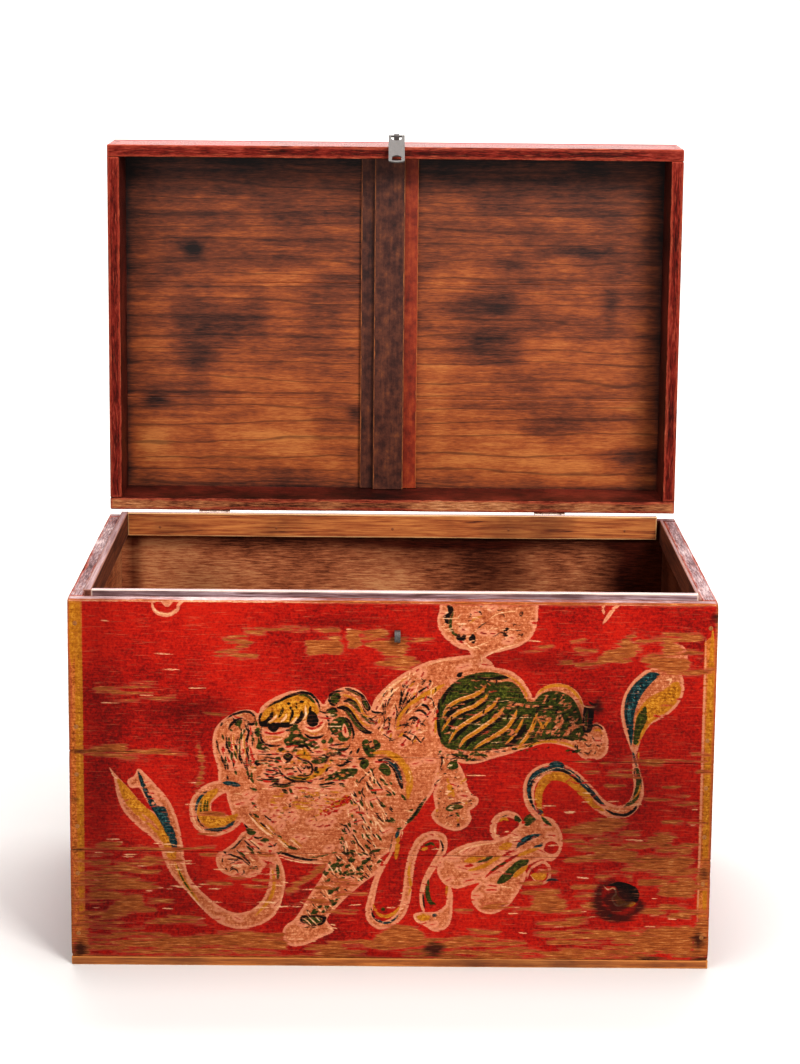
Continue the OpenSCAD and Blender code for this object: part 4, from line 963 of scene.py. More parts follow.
hind = ((48, 262), (52, 300), (80, 320), (120, 316), (140, 292), (190, 290), (196, 262), (160, 256),
        (110, 248), (64, 246))
hairs("black", 2.0, 7, (50, 16), 60, *hind)
hairs("pink", 1.3, 6, (0, 16), 40, *hind)
hairs("green", 2.4, 6, (50, 16), 30, *hind)
shin = ((150, 258), (150, 292), (170, 302), (190, 286), (206, 262), (222, 256), (212, 236), (190, 246))
hairs("black", 1.5, 6, (60, 16), 40, *shin)
hairs("pink", 1.6, 5, (40, 16), 34, *shin)
tuft = ((50, 396), (50, 368), (70, 352), (110, 354), (142, 372), (144, 398))
hairs("black", 1.2, 5, (20, 16), 16, *tuft)
hairs("pale", 1.4, 9, (15, 16), 22, *tuft)
hairs("red", 1.1, 5, (0, 16), 14, *tuft)
hanging = ((48, 230), (46, 180), (46, 160), (66, 154), (82, 172), (84, 190), (66, 228))
hairs("black", 1.2, 3, (30, 16), 26, *hanging)
hairs("pale", 1.4, 5, (20, 16), 18, *hanging)
hairs("ochre", 2.2, 4, (60, 16), 8, *hanging)
belly = ((-150, 196), (-140, 160), (-110, 134), (-60, 128), (-42, 150), (-46, 196))
hairs("red", 1.2, 5, (25, 16), 46, *belly)
hairs("pale", 1.0, 6, (0, 16), 44, *belly)
hairs("pink", 2.0, 8, (0, 16), 20, *belly)
for scuffed in (((-190, 200), (-190, 280), (0, 280), (60, 340), (220, 300), (220, 240), (0, 120),
                 (-120, 20)), ((-300, 200), (-230, 60), (-120, 60), (-110, 120), (-240, 200)),
                ((-30, 40), (-20, 120), (90, 140), (180, 160), (170, 60), (60, 40)),
                ((140, 180), (160, 230), (250, 240), (300, 330), (300, 260), (220, 170))):
    hairs("red", 1.1, 9, (0, 16), 60, *scuffed)

# The wear on the front, kept as patches too
# "bare" is where hands, locks and damp have taken the lacquer down to the wood, and "dark" is where dirt
# and knots have blackened it.
for points in (((-92, 357), (-80, 359), (-62, 362), (-55, 356), (-58, 346), (-75, 344), (-90, 342)),
               ((-48, 368), (-38, 369), (-38, 352), (-48, 352)),
               ((-36, 362), (-30, 367), (-15, 370), (-8, 366), (-15, 362)),
               ((-28, 354), (-10, 358), (0, 362), (12, 361), (12, 350), (6, 344), (-8, 343), (-20, 348)),
               ((-22, 334), (-5, 339), (10, 341), (25, 337), (12, 331), (-10, 331)),
               ((190, 334), (208, 338), (225, 350), (238, 358), (252, 356), (250, 345), (236, 340),
                (214, 334)), ((262, 362), (285, 366), (318, 369), (318, 362), (285, 361)),
               ((280, 357), (292, 359), (300, 353), (292, 347), (283, 349)),
               ((258, 340), (275, 345), (305, 340), (305, 328), (280, 328)),
               ((-320, 238), (-300, 243), (-282, 241), (-290, 236)), ((-262, 236), (-240, 239), (-218, 236)),
               ((-315, 131), (-300, 137), (-290, 134), (-300, 130)),
               ((-300, 62), (-282, 78), (-266, 74), (-275, 60)),
               ((-272, 22), (-220, 32), (-150, 31), (-120, 24)), ((-20, 24), (0, 44), (26, 42), (30, 24)),
               ((215, 123), (236, 132), (258, 130), (240, 122)),
               ((268, 140), (284, 149), (300, 147), (286, 139)),
               ((258, 112), (285, 124), (318, 122), (300, 111)),
               ((182, 152), (215, 164), (248, 162), (220, 151)),
               ((286, 84), (296, 96), (318, 98), (318, 84)),
               ((252, 16), (270, 40), (318, 46), (316, 16), (284, 20)),
               ((150, 64), (156, 79), (180, 78), (182, 64)),
               ((-336, 28), (-330, 40), (-324, 30), (-326, 10), (-337, 10)),
               ((322, 40), (332, 58), (338, 40), (336, 14), (324, 16)),
               ((325, 100), (332, 120), (337, 110), (333, 98))):
    patch("bare", *points)
strokes("bare", (3, (-173, 362), (-155, 363)), (2, (-165, 352), (-152, 355)),
        (2.4, (-178, 341), (-160, 342), (-145, 341)), (2, (-145, 371), (-112, 370), (-90, 370)),
        (2, (-285, 307), (-270, 307)), (2, (-285, 300), (-255, 301)), (2, (-198, 279), (-175, 279)),
        (2.4, (-208, 195), (-202, 220), (-206, 244)), (2, (-130, 370), (-100, 370)),
        (2.4, (-85, 370), (-60, 370)), (2.4, (15, 358), (40, 362)), (3, (240, 361), (250, 367)),
        (4, (-320, 86), (-290, 92), (-250, 88)), (4, (-316, 104), (-280, 108), (-256, 102)),
        (2.4, (-262, 48), (-230, 50), (-200, 47)), (5, (-112, 84), (-90, 98), (-72, 114)),
        (5, (-336, 7), (-200, 7), (-60, 8)), (5, (40, 7), (180, 8), (336, 7)),
        (2.4, (185, 121), (250, 121), (263, 112), (282, 108), (322, 110)),
        (1.6, (-330, 129), (-260, 129), (-190, 130)), (1.8, (220, 229), (280, 231), (330, 232)),
        (1.0, (-330, 236.5), (-260, 236), (-230, 236)), (5, (140, 84), (160, 84), (176, 85)),
        (2, (131, 347), (150, 351), (165, 355)), (1.6, (185, 359), (198, 362)),
        (1.6, (172, 335), (185, 338)))
for width, length, count, points in ((2.2, 40, 26, ((-322, 30), (-322, 122), (-236, 118), (-206, 60),
                                      (-236, 30))),
                                     (2.6, 56, 20, ((-322, 8), (-322, 32), (-240, 38), (-128, 34),
                                      (-128, 8))), (2.4, 40, 8, ((-128, 8), (-50, 16), (-50, 8))),
                                     (2.8, 50, 26, ((-44, 8), (-44, 28), (100, 34), (322, 34), (322, 8))),
                                     (2.4, 44, 22, ((40, 10), (60, 40), (180, 50), (250, 44), (250, 10))),
                                     (1.9, 26, 44, ((170, 40), (180, 160), (250, 165), (320, 200),
                                      (322, 30))), (1.8, 24, 8, ((64, 60), (70, 80), (210, 100), (216, 50))),
                                     (1.8, 22, 8, ((-104, 66), (-60, 112), (-20, 60))),
                                     (1.4, 20, 6, ((-322, 228), (-322, 246), (-260, 244), (-260, 230))),
                                     (1.6, 22, 7, ((-300, 286), (-300, 312), (-200, 300))),
                                     (1.5, 20, 7, ((-182, 336), (-176, 372), (-60, 368))),
                                     (1.8, 24, 13, ((176, 328), (200, 366), (322, 366), (322, 322),
                                      (300, 326))),
                                     (1.7, 22, 12, ((206, 186), (200, 236), (322, 240), (322, 182))),
                                     (1.5, 20, 10, ((-215, 100), (-208, 176), (-120, 108), (-130, 60)))):
    hairs("bare", width, length, (0, 1.5), count, *points)
hairs("pale", 1.3, 16, (0, 2), 44, (-325, 20), (-325, 380), (325, 380), (325, 20))
hairs("pale", 1.5, 12, (0, 3), 50, (-322, 60), (-322, 140), (-120, 110), (-120, 50))
hairs("pale", 1.5, 10, (0, 6), 40, (120, 40), (150, 180), (320, 180), (320, 40))
stroke("pale", 3.4, (-51, 371), (-43, 369), (-35, 368))
spots("dark", (45, 20, 12, 9), (336, 386, 5, 6), (-333, 18, 8, 9), (280, 9, 16, 3), (330, 11, 10, 4),
      (331, 107, 4, 4), (214, 289, 5, 9), (327, 32, 7, 10), (-334, 237, 6, 1.4), (-337, 184, 3, 1.4),
      (-336, 128, 4, 1.6), (170, 98, 6, 2))

# A knot under the paint: a dark ring, blacker above, split by a pale crack
spot("dark", 239, 76, 18, 15)
stroke("dark", 14, (232, 96), (221, 90), (219, 76), (224, 64), (236, 57), (250, 58), (262, 66), (264, 76))
patch("black", (226, 92), (233, 95), (242, 97), (257, 92), (263, 84), (261, 75), (252, 73), (242, 82),
      (238, 90))
patch("ochre", (238, 83), (246, 76), (259, 74), (254, 69), (242, 70), (237, 76))
stroke("pale", 1.9, (224, 93), (229, 88), (235, 90), (238, 84), (234, 78), (239, 70), (247, 72), (256, 73))
spot("teal", 232, 59, 3, 2)

# The borders at both ends: an orange strip with a golden line down it, and on the right a pale one inside
for points in (((-344, 402), (-344, 30), (-336, 28), (-327, 34), (-327, 200), (-327, 402)),
               ((324, 360), (324, 200), (324, 58), (331, 54), (337, 58), (337, 200), (337, 362),
                (331, 366))):
    brushwork.append(("band", np.array(points + points[:1], float), None))
strokes("ochre", (8.0, (-331, 420), (-331, 300), (-331, 180), (-331, 20)),
        (8.0, (-337, 420), (-337, 380), (-338, 330)),
        (8.4, (332.4, 372), (332.4, 300), (332.4, 180), (332.4, 50)))
stroke("pink", 2.6, (325.5, 364), (325.5, 300), (325.5, 160), (325.5, 44))
stroke("bare", 2.0, (-325.5, 60), (-325.5, 30))


# The lacquer
# Thin red lacquer, brushed on the planed wood. It is worn along the grain, scuffed pink where it is thin,
# gone from the arrises, and the wood under it is tan on the front and brown inside.
grain_x, grain_y, grain_z = (8, 90, 90), (90, 8, 90), (90, 90, 8)
lid_glare_reds = ((0.2, "#74120a"), (0.7, "#a62213"))


def worn_lacquer(name, grain, reds, woods, insides, rims, layers=()):
    """The material of a lacquered board: red by a broad cloud, the painted layers over it by their
    distances, then the wear, which starts where a distance plus noise along the grain falls below a limit.
    grain is how many times the noise repeats in a metre each way, before its own scale."""
    made, tree, place = new_material(name)
    along = add(tree, "Mapping", {"Vector": place, "Scale": grain})
    streak, tone, fleck, cloud, speck = (
        add(tree, "TexNoise", {"Vector": way, "Scale": scale, "Detail": detail, "Roughness": rough})
        for way, scale, detail, rough in (
            (along, 3.0, 9.0, 0.68), (along, 7.0, 7.0, 0.75), (along, 24.0, 4.0, 0.65),
            (place, 9.0, 5.0, 0.55), (place, 330.0, 4.0, 0.8)))
    grit = add(tree, "Math", {0: tone, 1: 0.8, 2: speck}, operation="MULTIPLY_ADD")
    grit = add(tree, "MapRange", {"Value": grit, "From Min": 0.7, "From Max": 1.1})
    colour = add(tree, "Math", {0: grit, 1: 0.5, 2: cloud}, operation="MULTIPLY_ADD")
    colour = add(tree, "ValToRGB", {"Fac": colour}, stops=reds)
    flaked = add(tree, "MapRange", {"Value": streak, "From Min": 0.54, "From Max": 0.7})
    for layer, flake, tones, border in layers:
        edge = add(tree, "Attribute", {}, out="Fac", attribute_name=layer)
        edge = add(tree, "Math", {0: fleck, 1: 3.0, 2: edge}, operation="MULTIPLY_ADD")
        edge = add(tree, "Math", {0: flaked, 1: flake, 2: edge}, operation="MULTIPLY_ADD")
        mask = add(tree, "MapRange", {"Value": edge, "From Min": 1.75, "From Max": 1.25})
        paint = add(tree, "ValToRGB", {"Fac": grit}, stops=tones)
        lined = add(tree, "MapRange", {"Value": edge, "From Min": -2.4, "From Max": -0.6, "To Max": 0.6})
        paint = add(tree, "MixRGB", {"Fac": lined, "Color1": paint, "Color2": border})
        colour = add(tree, "MixRGB", {"Fac": mask, "Color1": colour, "Color2": paint})
    fibre = add(tree, "MapRange", {"Value": tone, "From Min": 0.35, "From Max": 0.65})
    patchy = add(tree, "Math", {0: fibre, 1: 0.4, 2: cloud}, operation="MULTIPLY_ADD")
    patchy = add(tree, "MapRange", {"Value": patchy, "From Min": 0.42, "From Max": 0.98})
    # Rim faces take their own tones; on the box walls these are worn grey with a painted sheen.
    for face, tones in (("rim", rims), ("top", lid_glare_reds)):
        mask = add(tree, "Attribute", {}, out="Fac", attribute_name=face)
        paint = add(tree, "ValToRGB", {"Fac": patchy}, stops=tones)
        colour = add(tree, "MixRGB", {"Fac": mask, "Color1": colour, "Color2": paint})
    bare = add(tree, "Attribute", {}, out="Fac", attribute_name="bare")
    bare = add(tree, "Math", {0: streak, 1: 26.0, 2: bare}, operation="MULTIPLY_ADD")
    arris = add(tree, "Attribute", {}, out="Fac", attribute_name="arris")
    for noise, amount in ((cloud, 12.0), (fleck, 6.0)):
        arris = add(tree, "Math", {0: noise, 1: amount, 2: arris}, operation="MULTIPLY_ADD")
    arris = add(tree, "Math", {0: arris, 1: 2.8}, operation="ADD")
    worn = add(tree, "Math", {0: bare, 1: arris}, operation="MINIMUM")
    wood = add(tree, "ValToRGB", {"Fac": fibre}, stops=woods)
    scuffed = add(tree, "MapRange", {"Value": worn, "From Min": 15.4, "From Max": 13.4, "To Max": 0.7})
    colour = add(tree, "MixRGB", {"Fac": scuffed, "Color1": colour, "Color2": "#b9533c"})
    worn = add(tree, "MapRange", {"Value": worn, "From Min": 13.6, "From Max": 12.6})
    colour = add(tree, "MixRGB", {"Fac": worn, "Color1": colour, "Color2": wood})
    dark = add(tree, "Attribute", {}, out="Fac", attribute_name="dark")
    dark = add(tree, "Math", {0: streak, 1: 24.0, 2: dark}, operation="MULTIPLY_ADD")
    dark = add(tree, "MapRange", {"Value": dark, "From Min": 15.0, "From Max": 8.0, "To Max": 0.9})
    colour = add(tree, "MixRGB", {"Fac": dark, "Color1": colour, "Color2": "#38120a"})
    fine = add(tree, "Mapping", {"Vector": place, "Scale": [c * (1.5 if c < 20 else 4.5) for c in grain]})
    scratch = add(tree, "TexNoise", {"Vector": fine, "Scale": 3.0, "Detail": 5.0, "Roughness": 0.6})
    scratch = add(tree, "MapRange", {"Value": scratch, "From Min": 0.6, "From Max": 0.66, "To Max": 0.7})
    colour = add(tree, "MixRGB", {"Fac": scratch, "Color1": colour, "Color2": "#cc7450"})
    mask = add(tree, "Attribute", {}, out="Fac", attribute_name="inside")
    paint = add(tree, "ValToRGB", {"Fac": patchy}, stops=insides)
    colour = add(tree, "MixRGB", {"Fac": mask, "Color1": colour, "Color2": paint})
    # Painted shade: the colour is multiplied towards dark brown by the piece's "shade" value.
    shade = add(tree, "Attribute", {}, out="Fac", attribute_name="shade")
    colour = add(tree, "MixRGB", {"Fac": shade, "Color1": colour, "Color2": "#6f463c"},
                 blend_type="MULTIPLY")
    height = add(tree, "Math", {0: streak, 1: 0.6, 2: fleck}, operation="MULTIPLY_ADD")
    height = add(tree, "Math", {0: worn, 1: -0.5, 2: height}, operation="MULTIPLY_ADD")
    bump = add(tree, "Bump", {"Height": height, "Strength": 0.4, "Distance": 0.0006})
    mask = add(tree, "Attribute", {}, out="Fac", attribute_name="top")
    gloss = add(tree, "MapRange", {"Value": worn, "To Min": 0.42, "To Max": 0.7})
    gloss = add(tree, "Math", {0: mask, 1: -0.18, 2: gloss}, operation="MULTIPLY_ADD")
    glare = add(tree, "MapRange", {"Value": mask, "To Min": 0.12, "To Max": 0.4})
    skin = add(tree, "BsdfPrincipled", {"Base Color": colour, "Roughness": gloss, "Normal": bump,
                                        "Specular IOR Level": glare})
    add(tree, "OutputMaterial", {"Surface": skin})
    return made


tan_wood = ((0.1, "#7a3a18"), (0.45, "#a05626"), (0.7, "#b86c34"), (0.95, "#d69c62"))
brown_inside = ((0.15, "#6a3824"), (0.42, "#a86644"), (0.6, "#c07c54"), (0.85, "#d8a070"))
# Tops of the box walls: worn and greyed, and painted paler still as the sheen they catch at a low angle.
box_rim_wear_and_sheen = ((0.1, "#5a3434"), (0.4, "#967272"), (0.65, "#c4a8a6"), (0.95, "#ecd8d2"))
front_layers = (("band", 0.5, ((0.2, "#8a4410"), (0.5, "#bd6a26"), (0.8, "#d88a48")), "#bd6a26"),
                ("pink", 2.0, ((0.0, "#8a401e"), (0.3, "#b05e36"), (0.62, "#c5784e"), (1.0, "#e6a880")),
                 "#e09a78"),
                ("ochre", 2.5, ((0.2, "#8a4d08"), (0.5, "#c07c16"), (0.8, "#dca23c")), "#b87418"),
                ("green", 2.2, ((0.2, "#141a02"), (0.55, "#3e420a"), (0.9, "#74742a")), "#303408"),
                ("teal", 2.2, ((0.2, "#071a1c"), (0.55, "#143c40"), (0.9, "#568680")), "#0c2a2c"),
                ("pale", 1.5, ((0.2, "#c0794a"), (0.5, "#e2ac7e"), (0.8, "#f8e2c4")), "#e2ac7e"),
                ("black", 1.2, ((0.2, "#0c0301"), (0.6, "#180903"), (0.95, "#43200f")), "#140803"))
front_lacquer = worn_lacquer("worn_red_lacquer_with_painting", grain_x,
                             ((0.5, "#740d06"), (0.72, "#a41509"), (0.98, "#c4260f")),
                             tan_wood, brown_inside, box_rim_wear_and_sheen, front_layers)

# The front planks
# Three softwood planks, cut with sloping edges from a tapering tree, so that the seams between them drop
# to the right. They are nailed to the side walls and the bottom.
(floor_z, low_left), (low_right, mid_left), (mid_right, rim_z) = (
    (low[2], high[2]) for low, high in map(corners_of, ("front_plank_low", "front_plank_middle",
                                                        "front_plank_top")))
front_y, skin_depth = -219.0, 4
front_ends = {"front_plank_low": ((floor_z, floor_z), (low_left, low_right)),
              "front_plank_middle": ((low_left, low_right), (mid_left, mid_right)),
              "front_plank_top": ((mid_left, mid_right), (rim_z, rim_z))}
old_holes = ((-8.3, 383), (4.5, 383))
rubbed_ovals = ((280, 70, 80, 60, 0.8), (250, 150, 90, 35, 0.5), (-285, 85, 60, 45, 0.6),
                (-120, 40, 200, 30, 0.5), (20, 20, 220, 25, 0.6), (-300, 240, 60, 10, 0.6),
                (-20, 355, 70, 18, 0.4), (235, 350, 60, 16, 0.5), (290, 335, 40, 22, 0.5),
                (200, 90, 120, 40, 0.5))
# Painted shade: ovals that darken the front's lacquer, down its left end, over its right side and in spots.
shaded_ovals = ((-310, 215, 26, 260, 0.45), (-210, 282, 50, 14, 0.5), (-240, 60, 120, 60, 0.35),
                (150, 338, 60, 10, 0.4), (-50, 378, 40, 5, 0.5), (0, 10, 90, 10, 0.4),
                (200, 280, 20, 20, 0.5), (-60, 150, 300, 60, 0.2), (260, 180, 120, 120, 0.45),
                (2, 364, 10, 12, 0.4))


def soft_ovals(x, z, ovals):
    """The sum of soft ovals, each its amount times the bell curve of the distance from its middle."""
    return sum(a * np.exp(-((x - cx) / rx) ** 2 - ((z - cz) / rz) ** 2) for cx, cz, rx, rz, a in ovals)


def front_finish(points, p):
    """The painting's distances, with the rubbed ovals taken off "bare" but not at the knot, and a pale line
    along the rim. The arris is the second smallest distance to a side, with the seams counted 5 mm further
    off. A small hollow is pressed in at each old hole."""
    x, z = points[:, 0], points[:, 2]
    values = painted(x, z, figure_x)
    rubbed = np.clip(soft_ovals(x, z, rubbed_ovals), 0, 1)
    knot_x, knot_z, knot_keep = 243, 78, 26
    values["bare"] = np.maximum(values["bare"], -4) - 2 * rubbed
    values["bare"] = np.maximum(values["bare"], knot_keep - np.hypot(x - knot_x, z - knot_z))
    rim_line = np.maximum(rim_z - p[:, 2], p[:, 1] - front_y) - 2.4
    values["pale"] = np.minimum(values["pale"], rim_line)
    for layer in values.values():
        layer[p[:, 1] > front_y + skin_depth] = far
    # Painted shade from the shaded ovals.
    values["shade"] = np.clip(soft_ovals(x, z, shaded_ovals), 0, 1)
    low, high = p.min(0), p.max(0)
    ends = np.minimum(p[:, 0] - low[0], high[0] - p[:, 0])
    seams = np.minimum(p[:, 2] - low[2] + (0 if low[2] < floor_z + 1 else 5.0),
                       high[2] - p[:, 2] + (0 if high[2] > rim_z - 1 else 5.0))
    values["arris"] = np.sort(np.stack([ends, seams, p[:, 1] - low[1], high[1] - p[:, 1]]), axis=0)[1]
    hole_depth, hole_r = 1.5, 1.9
    for hole_x, hole_z in old_holes:
        away = np.hypot(x - hole_x, z - hole_z) / hole_r
        points[:, 1] += np.where(p[:, 1] < front_y + skin_depth, hole_depth * np.exp(-away ** 4), 0)
    return points, values


for node, ends in front_ends.items():
    faces = {"inside": (1, 1), "rim": (2, 1)} if "top" in node else {"inside": (1, 1)}
    board(node, 0, "box", front_lacquer, faces, length_step=1.2,
          side_steps=(5, 15, 5, 1.15), base=1.3, ends=ends, fields=front_finish, chips=(
              (-340, -219, 237, 5, 2.0), (340, -219, 401, 7, 2.5), (-340, -219, 401, 5, 1.5),
              (340, -219, 110, 6, 2.0), (-340, -219, 9, 8, 2.5), (340, -219, 9, 8, 2.5)))

# The back and side planks
# Two planks to each wall, of the same softwood. Their outsides have the same red lacquer as the front, with
# no painting, and their insides are stained brown and darkened with painted shade.
# Tops of the back and side walls: worn and greyed, and painted paler still as a sheen.
side_rim_wear_and_sheen = ((0.1, "#4a2a2c"), (0.4, "#7c5a5c"), (0.65, "#a68a8a"), (0.95, "#dcc6c2"))
wall_reds = ((0.5, "#6c0f08"), (0.72, "#98180b"), (0.98, "#b62812"))
rubbed_wood = ((0.2, "#5a1c12"), (0.5, "#8a3a26"), (0.8, "#b8654a"))
back_lacquer, side_lacquer = (
    worn_lacquer("worn_red_lacquer_along_the_" + wall, grain, wall_reds, rubbed_wood, brown_inside,
                 side_rim_wear_and_sheen)
    for wall, grain in (("back", grain_x), ("sides", grain_y)))


def back_inner_shade_and_stains(points, p):
    """Painted shade in the corners, under the rim and over the right half, with a few darker stains."""
    stains = soft_ovals(points[:, 0], points[:, 2], (
        (-310, 250, 9, 300, 0.8), (330, 250, 40, 400, 1.0), (40, 362, 70, 22, 0.5), (125, 335, 46, 70, 0.7),
        (285, 320, 36, 90, 0.95), (222, 290, 24, 30, 0.4), (0, 372, 400, 7, 0.9), (-230, 310, 36, 40, 0.3)))
    return points, {"shade": (p[:, 1] < p[:, 1].min() + 3) * np.clip(stains, 0, 1)}


def right_inner_painted_shade(points, p):
    """Painted shade all over the inner face, which is at the lowest x."""
    return points, {"shade": (p[:, 0] < p[:, 0].min() + 1e-6) * 0.8}


for node in ("back_plank_low", "back_plank_top"):
    faces = {"inside": (1, -1), "rim": (2, 1)} if "top" in node else {"inside": (1, -1)}
    board(node, 0, "box", back_lacquer, faces, length_step=6, side_steps=(4, 6, 4, 6),
          base=1.1, fields=back_inner_shade_and_stains)
for node in ("left_plank_low", "left_plank_top", "right_plank_low", "right_plank_top"):
    faces = {"inside": (0, 1 if "left" in node else -1)}
    if "top" in node:
        faces["rim"] = (2, 1)
    board(node, 1, "box", side_lacquer, faces, length_step=5, side_steps=(6, 4, 6, 4),
          base=1.2, fields=right_inner_painted_shade if "right" in node else None)


# The bottom boards
# Two thin bare boards nailed up under the walls. Their front and side edges show below the lacquer, rubbed
# and yellowed.
def bare_wood(name, grain, tones, edge, rims=((0.3, "#a88484"), (0.6, "#d8c2c0"))):
    """Bare softwood: darker and paler grain lines along the board, and a broad cloud of dirt over them, with
    rubbed arrises. Faces marked "rim" are greyed by hands and weather, and painted paler as a sheen."""
    made, tree, place = new_material(name)
    along = add(tree, "Mapping", {"Vector": place, "Scale": grain})
    lines = add(tree, "TexNoise", {"Vector": along, "Scale": 5.0, "Detail": 8.0, "Roughness": 0.7,
                                   "Distortion": 0.4})
    cloud = add(tree, "TexNoise", {"Vector": place, "Scale": 12.0, "Detail": 5.0})
    colour = add(tree, "ValToRGB", {"Fac": lines}, stops=tones)
    dirt = add(tree, "MapRange", {"Value": cloud, "From Min": 0.45, "From Max": 0.7, "To Max": 0.6})
    colour = add(tree, "MixRGB", {"Fac": dirt, "Color1": colour, "Color2": "#6b3a26"}, blend_type="MULTIPLY")
    arris = add(tree, "Attribute", {}, out="Fac", attribute_name="arris")
    # Rim faces: worn grey, painted paler as a sheen.
    grey = add(tree, "Attribute", {}, out="Fac", attribute_name="rim")
    rim_grey_and_sheen = add(tree, "ValToRGB", {"Fac": lines}, stops=rims)
    colour = add(tree, "MixRGB", {"Fac": grey, "Color1": colour, "Color2": rim_grey_and_sheen})
    rubbed = add(tree, "Math", {0: cloud, 1: 3.0, 2: arris}, operation="MULTIPLY_ADD")
    rubbed = add(tree, "MapRange", {"Value": rubbed, "From Min": 3.2, "From Max": 2.2, "To Max": 0.85})
    colour = add(tree, "MixRGB", {"Fac": rubbed, "Color1": colour, "Color2": edge})
    bump = add(tree, "Bump", {"Height": lines, "Strength": 0.4, "Distance": 0.0005})
    skin = add(tree, "BsdfPrincipled", {"Base Color": colour, "Roughness": 0.62, "Normal": bump})
    add(tree, "OutputMaterial", {"Surface": skin})
    return made


bottom_wood = bare_wood("bare_softwood_of_the_bottom", (3, 50, 50),
                        ((0.3, "#7a3f18"), (0.5, "#ab6428"), (0.7, "#cf8a44")), "#cf8a44")
for node in ("bottom_board_front", "bottom_board_back"):
    board(node, 0, "box", bottom_wood, {}, length_step=4, side_steps=(4, 2, 4, 2), base=1.0)

# The liner
# Four thin strips bradded inside the rim. They stand proud of the walls, so that the lid closes over them
# and keeps dust out.
liner_along_front = bare_wood("stained_liner_along_the_front", (3, 70, 70),
                              ((0.3, "#4e1e10"), (0.44, "#b06230"), (0.62, "#da9250")), "#e8c088")
liner_along_sides = bare_wood("stained_liner_along_the_sides", (70, 3, 70),
                              ((0.3, "#3c1a10"), (0.5, "#6e3822"), (0.7, "#9a5c38")), "#9a6a58",
                              ((0.3, "#6e4444"), (0.6, "#b89a98")))
# The front liner: worn grey wood, painted paler still as the sheen on its top.
front_liner_grey_and_sheen = bare_wood("liner_by_the_front_worn_grey_with_sheen", (3, 70, 70),
                         ((0.35, "#4e2c28"), (0.48, "#8c6c6c"), (0.66, "#c8b8bc")), "#e8d4c4")
for node, along, finish in (("liner_front", 0, front_liner_grey_and_sheen), ("liner_back", 0, liner_along_front),
                            ("liner_left", 1, liner_along_sides), ("liner_right", 1, liner_along_sides)):
    board(node, along, "box", finish, {"rim": (2, 1)}, length_step=3,
          side_steps=(2, 2, 2, 2), base=0.8)

# The lid's walls
# A frame of four boards on edge, nailed at the corners. The lacquer goes round the rim, where the lid has
# knocked against the box for years.
lid_rims = ((0.15, "#2a0a06"), (0.42, "#5e1a12"), (0.62, "#80261a"), (0.9, "#a44c3a"))
lid_back_rims = ((0.15, "#50281a"), (0.42, "#9a6040"), (0.62, "#bb8054"), (0.9, "#e2ae80"))
lid_insides = ((0.2, "#240a06"), (0.5, "#5c2016"), (0.8, "#863828"))
lid_reds = ((0.5, "#6c0f08"), (0.72, "#9c180b"), (0.98, "#bc2c16"))
lid_lacquer, lid_back_lacquer, lid_side_lacquer = (
    worn_lacquer("worn_red_lacquer_" + where, grain, lid_reds, rubbed_wood, lid_insides, rims)
    for where, grain, rims in (("along_the_lid", grain_x, lid_rims),
                               ("with_a_brown_rim", grain_x, lid_back_rims),
                               ("up_the_lid", grain_z, lid_rims)))
for node, along, finish, faces, side_steps, base in (
        ("lid_front", 0, lid_lacquer, {"inside": (2, -1), "top": (2, 1)}, (3, 3, 3, 2), 1.3),
        ("lid_back", 0, lid_back_lacquer, {"inside": (2, 1)}, (3, 3, 3, 2), 1.2),
        ("lid_left", 2, lid_side_lacquer, {"inside": (0, 1)}, (2, 3, 3, 3), 1.2),
        ("lid_right", 2, lid_side_lacquer, {"inside": (0, -1)}, (2, 3, 3, 3), 1.2)):
    board(node, along, "lid", finish, {**faces, "rim": (1, -1)}, length_step=3,
          side_steps=side_steps, base=base)

# The lid's top boards
# Three planed boards nailed on the frame. Seen from inside they are bare wood under a brown stain, with dark
# marks where things have stood against them, painted shade along their edges and a painted shadow across the
# top; their outsides are lacquered.
lid_inner = (-325.5, 325.5, 420.4, 829.4)
lid_half_w, lid_foot, lid_head = 339.9, 406.0, 843.8
# Soft ovals of stain on the boards' inside; the last, across the top, is a painted shadow under the lid's
# front.
lid_stains_and_shadow = ((-243, 575, 24, 80, -0.2), (-203, 617, 48, 36, -0.2), (-85, 620, 30, 38, -0.17),
              (-245, 714, 13, 9, -0.5), (-291, 527, 18, 13, -0.4), (-46, 513, 12, 9, -0.4),
              (-150, 440, 55, 16, -0.14), (114, 650, 36, 22, -0.22), (122, 604, 46, 30, -0.22),
              (212, 503, 46, 22, -0.2), (264, 650, 10, 20, -0.25), (224, 715, 38, 7, -0.25),
              (294, 460, 32, 18, -0.28), (-134, 650, 20, 32, 0.16), (-296, 597, 28, 20, 0.16),
              (-297, 480, 26, 30, 0.12), (-150, 488, 100, 22, 0.12), (60, 520, 22, 80, 0.14),
              (175, 455, 70, 22, 0.12), (80, 690, 36, 28, 0.14), (-200, 690, 90, 20, 0.08),
              (240, 580, 50, 40, 0.08), (0, 815, 400, 30, -0.14))
lid_board_wood, tree, place = new_material("stained_and_marked_lid_boards")
along = add(tree, "Mapping", {"Vector": place, "Scale": (1.0, 36, 36)})
lines = add(tree, "TexNoise", {"Vector": along, "Scale": 5.0, "Detail": 9.0, "Roughness": 0.7,
                               "Distortion": 0.35})
across = add(tree, "Mapping", {"Vector": place, "Scale": (1.0, 2.6, 2.6)})
cloud = add(tree, "TexNoise", {"Vector": across, "Scale": 16.0, "Detail": 7.0, "Roughness": 0.62})
fibre = add(tree, "Mapping", {"Vector": place, "Scale": (30, 300, 300)})
fibre = add(tree, "TexNoise", {"Vector": fibre, "Scale": 3.0, "Detail": 5.0, "Roughness": 0.65})
stain = add(tree, "Attribute", {}, out="Fac", attribute_name="stain")
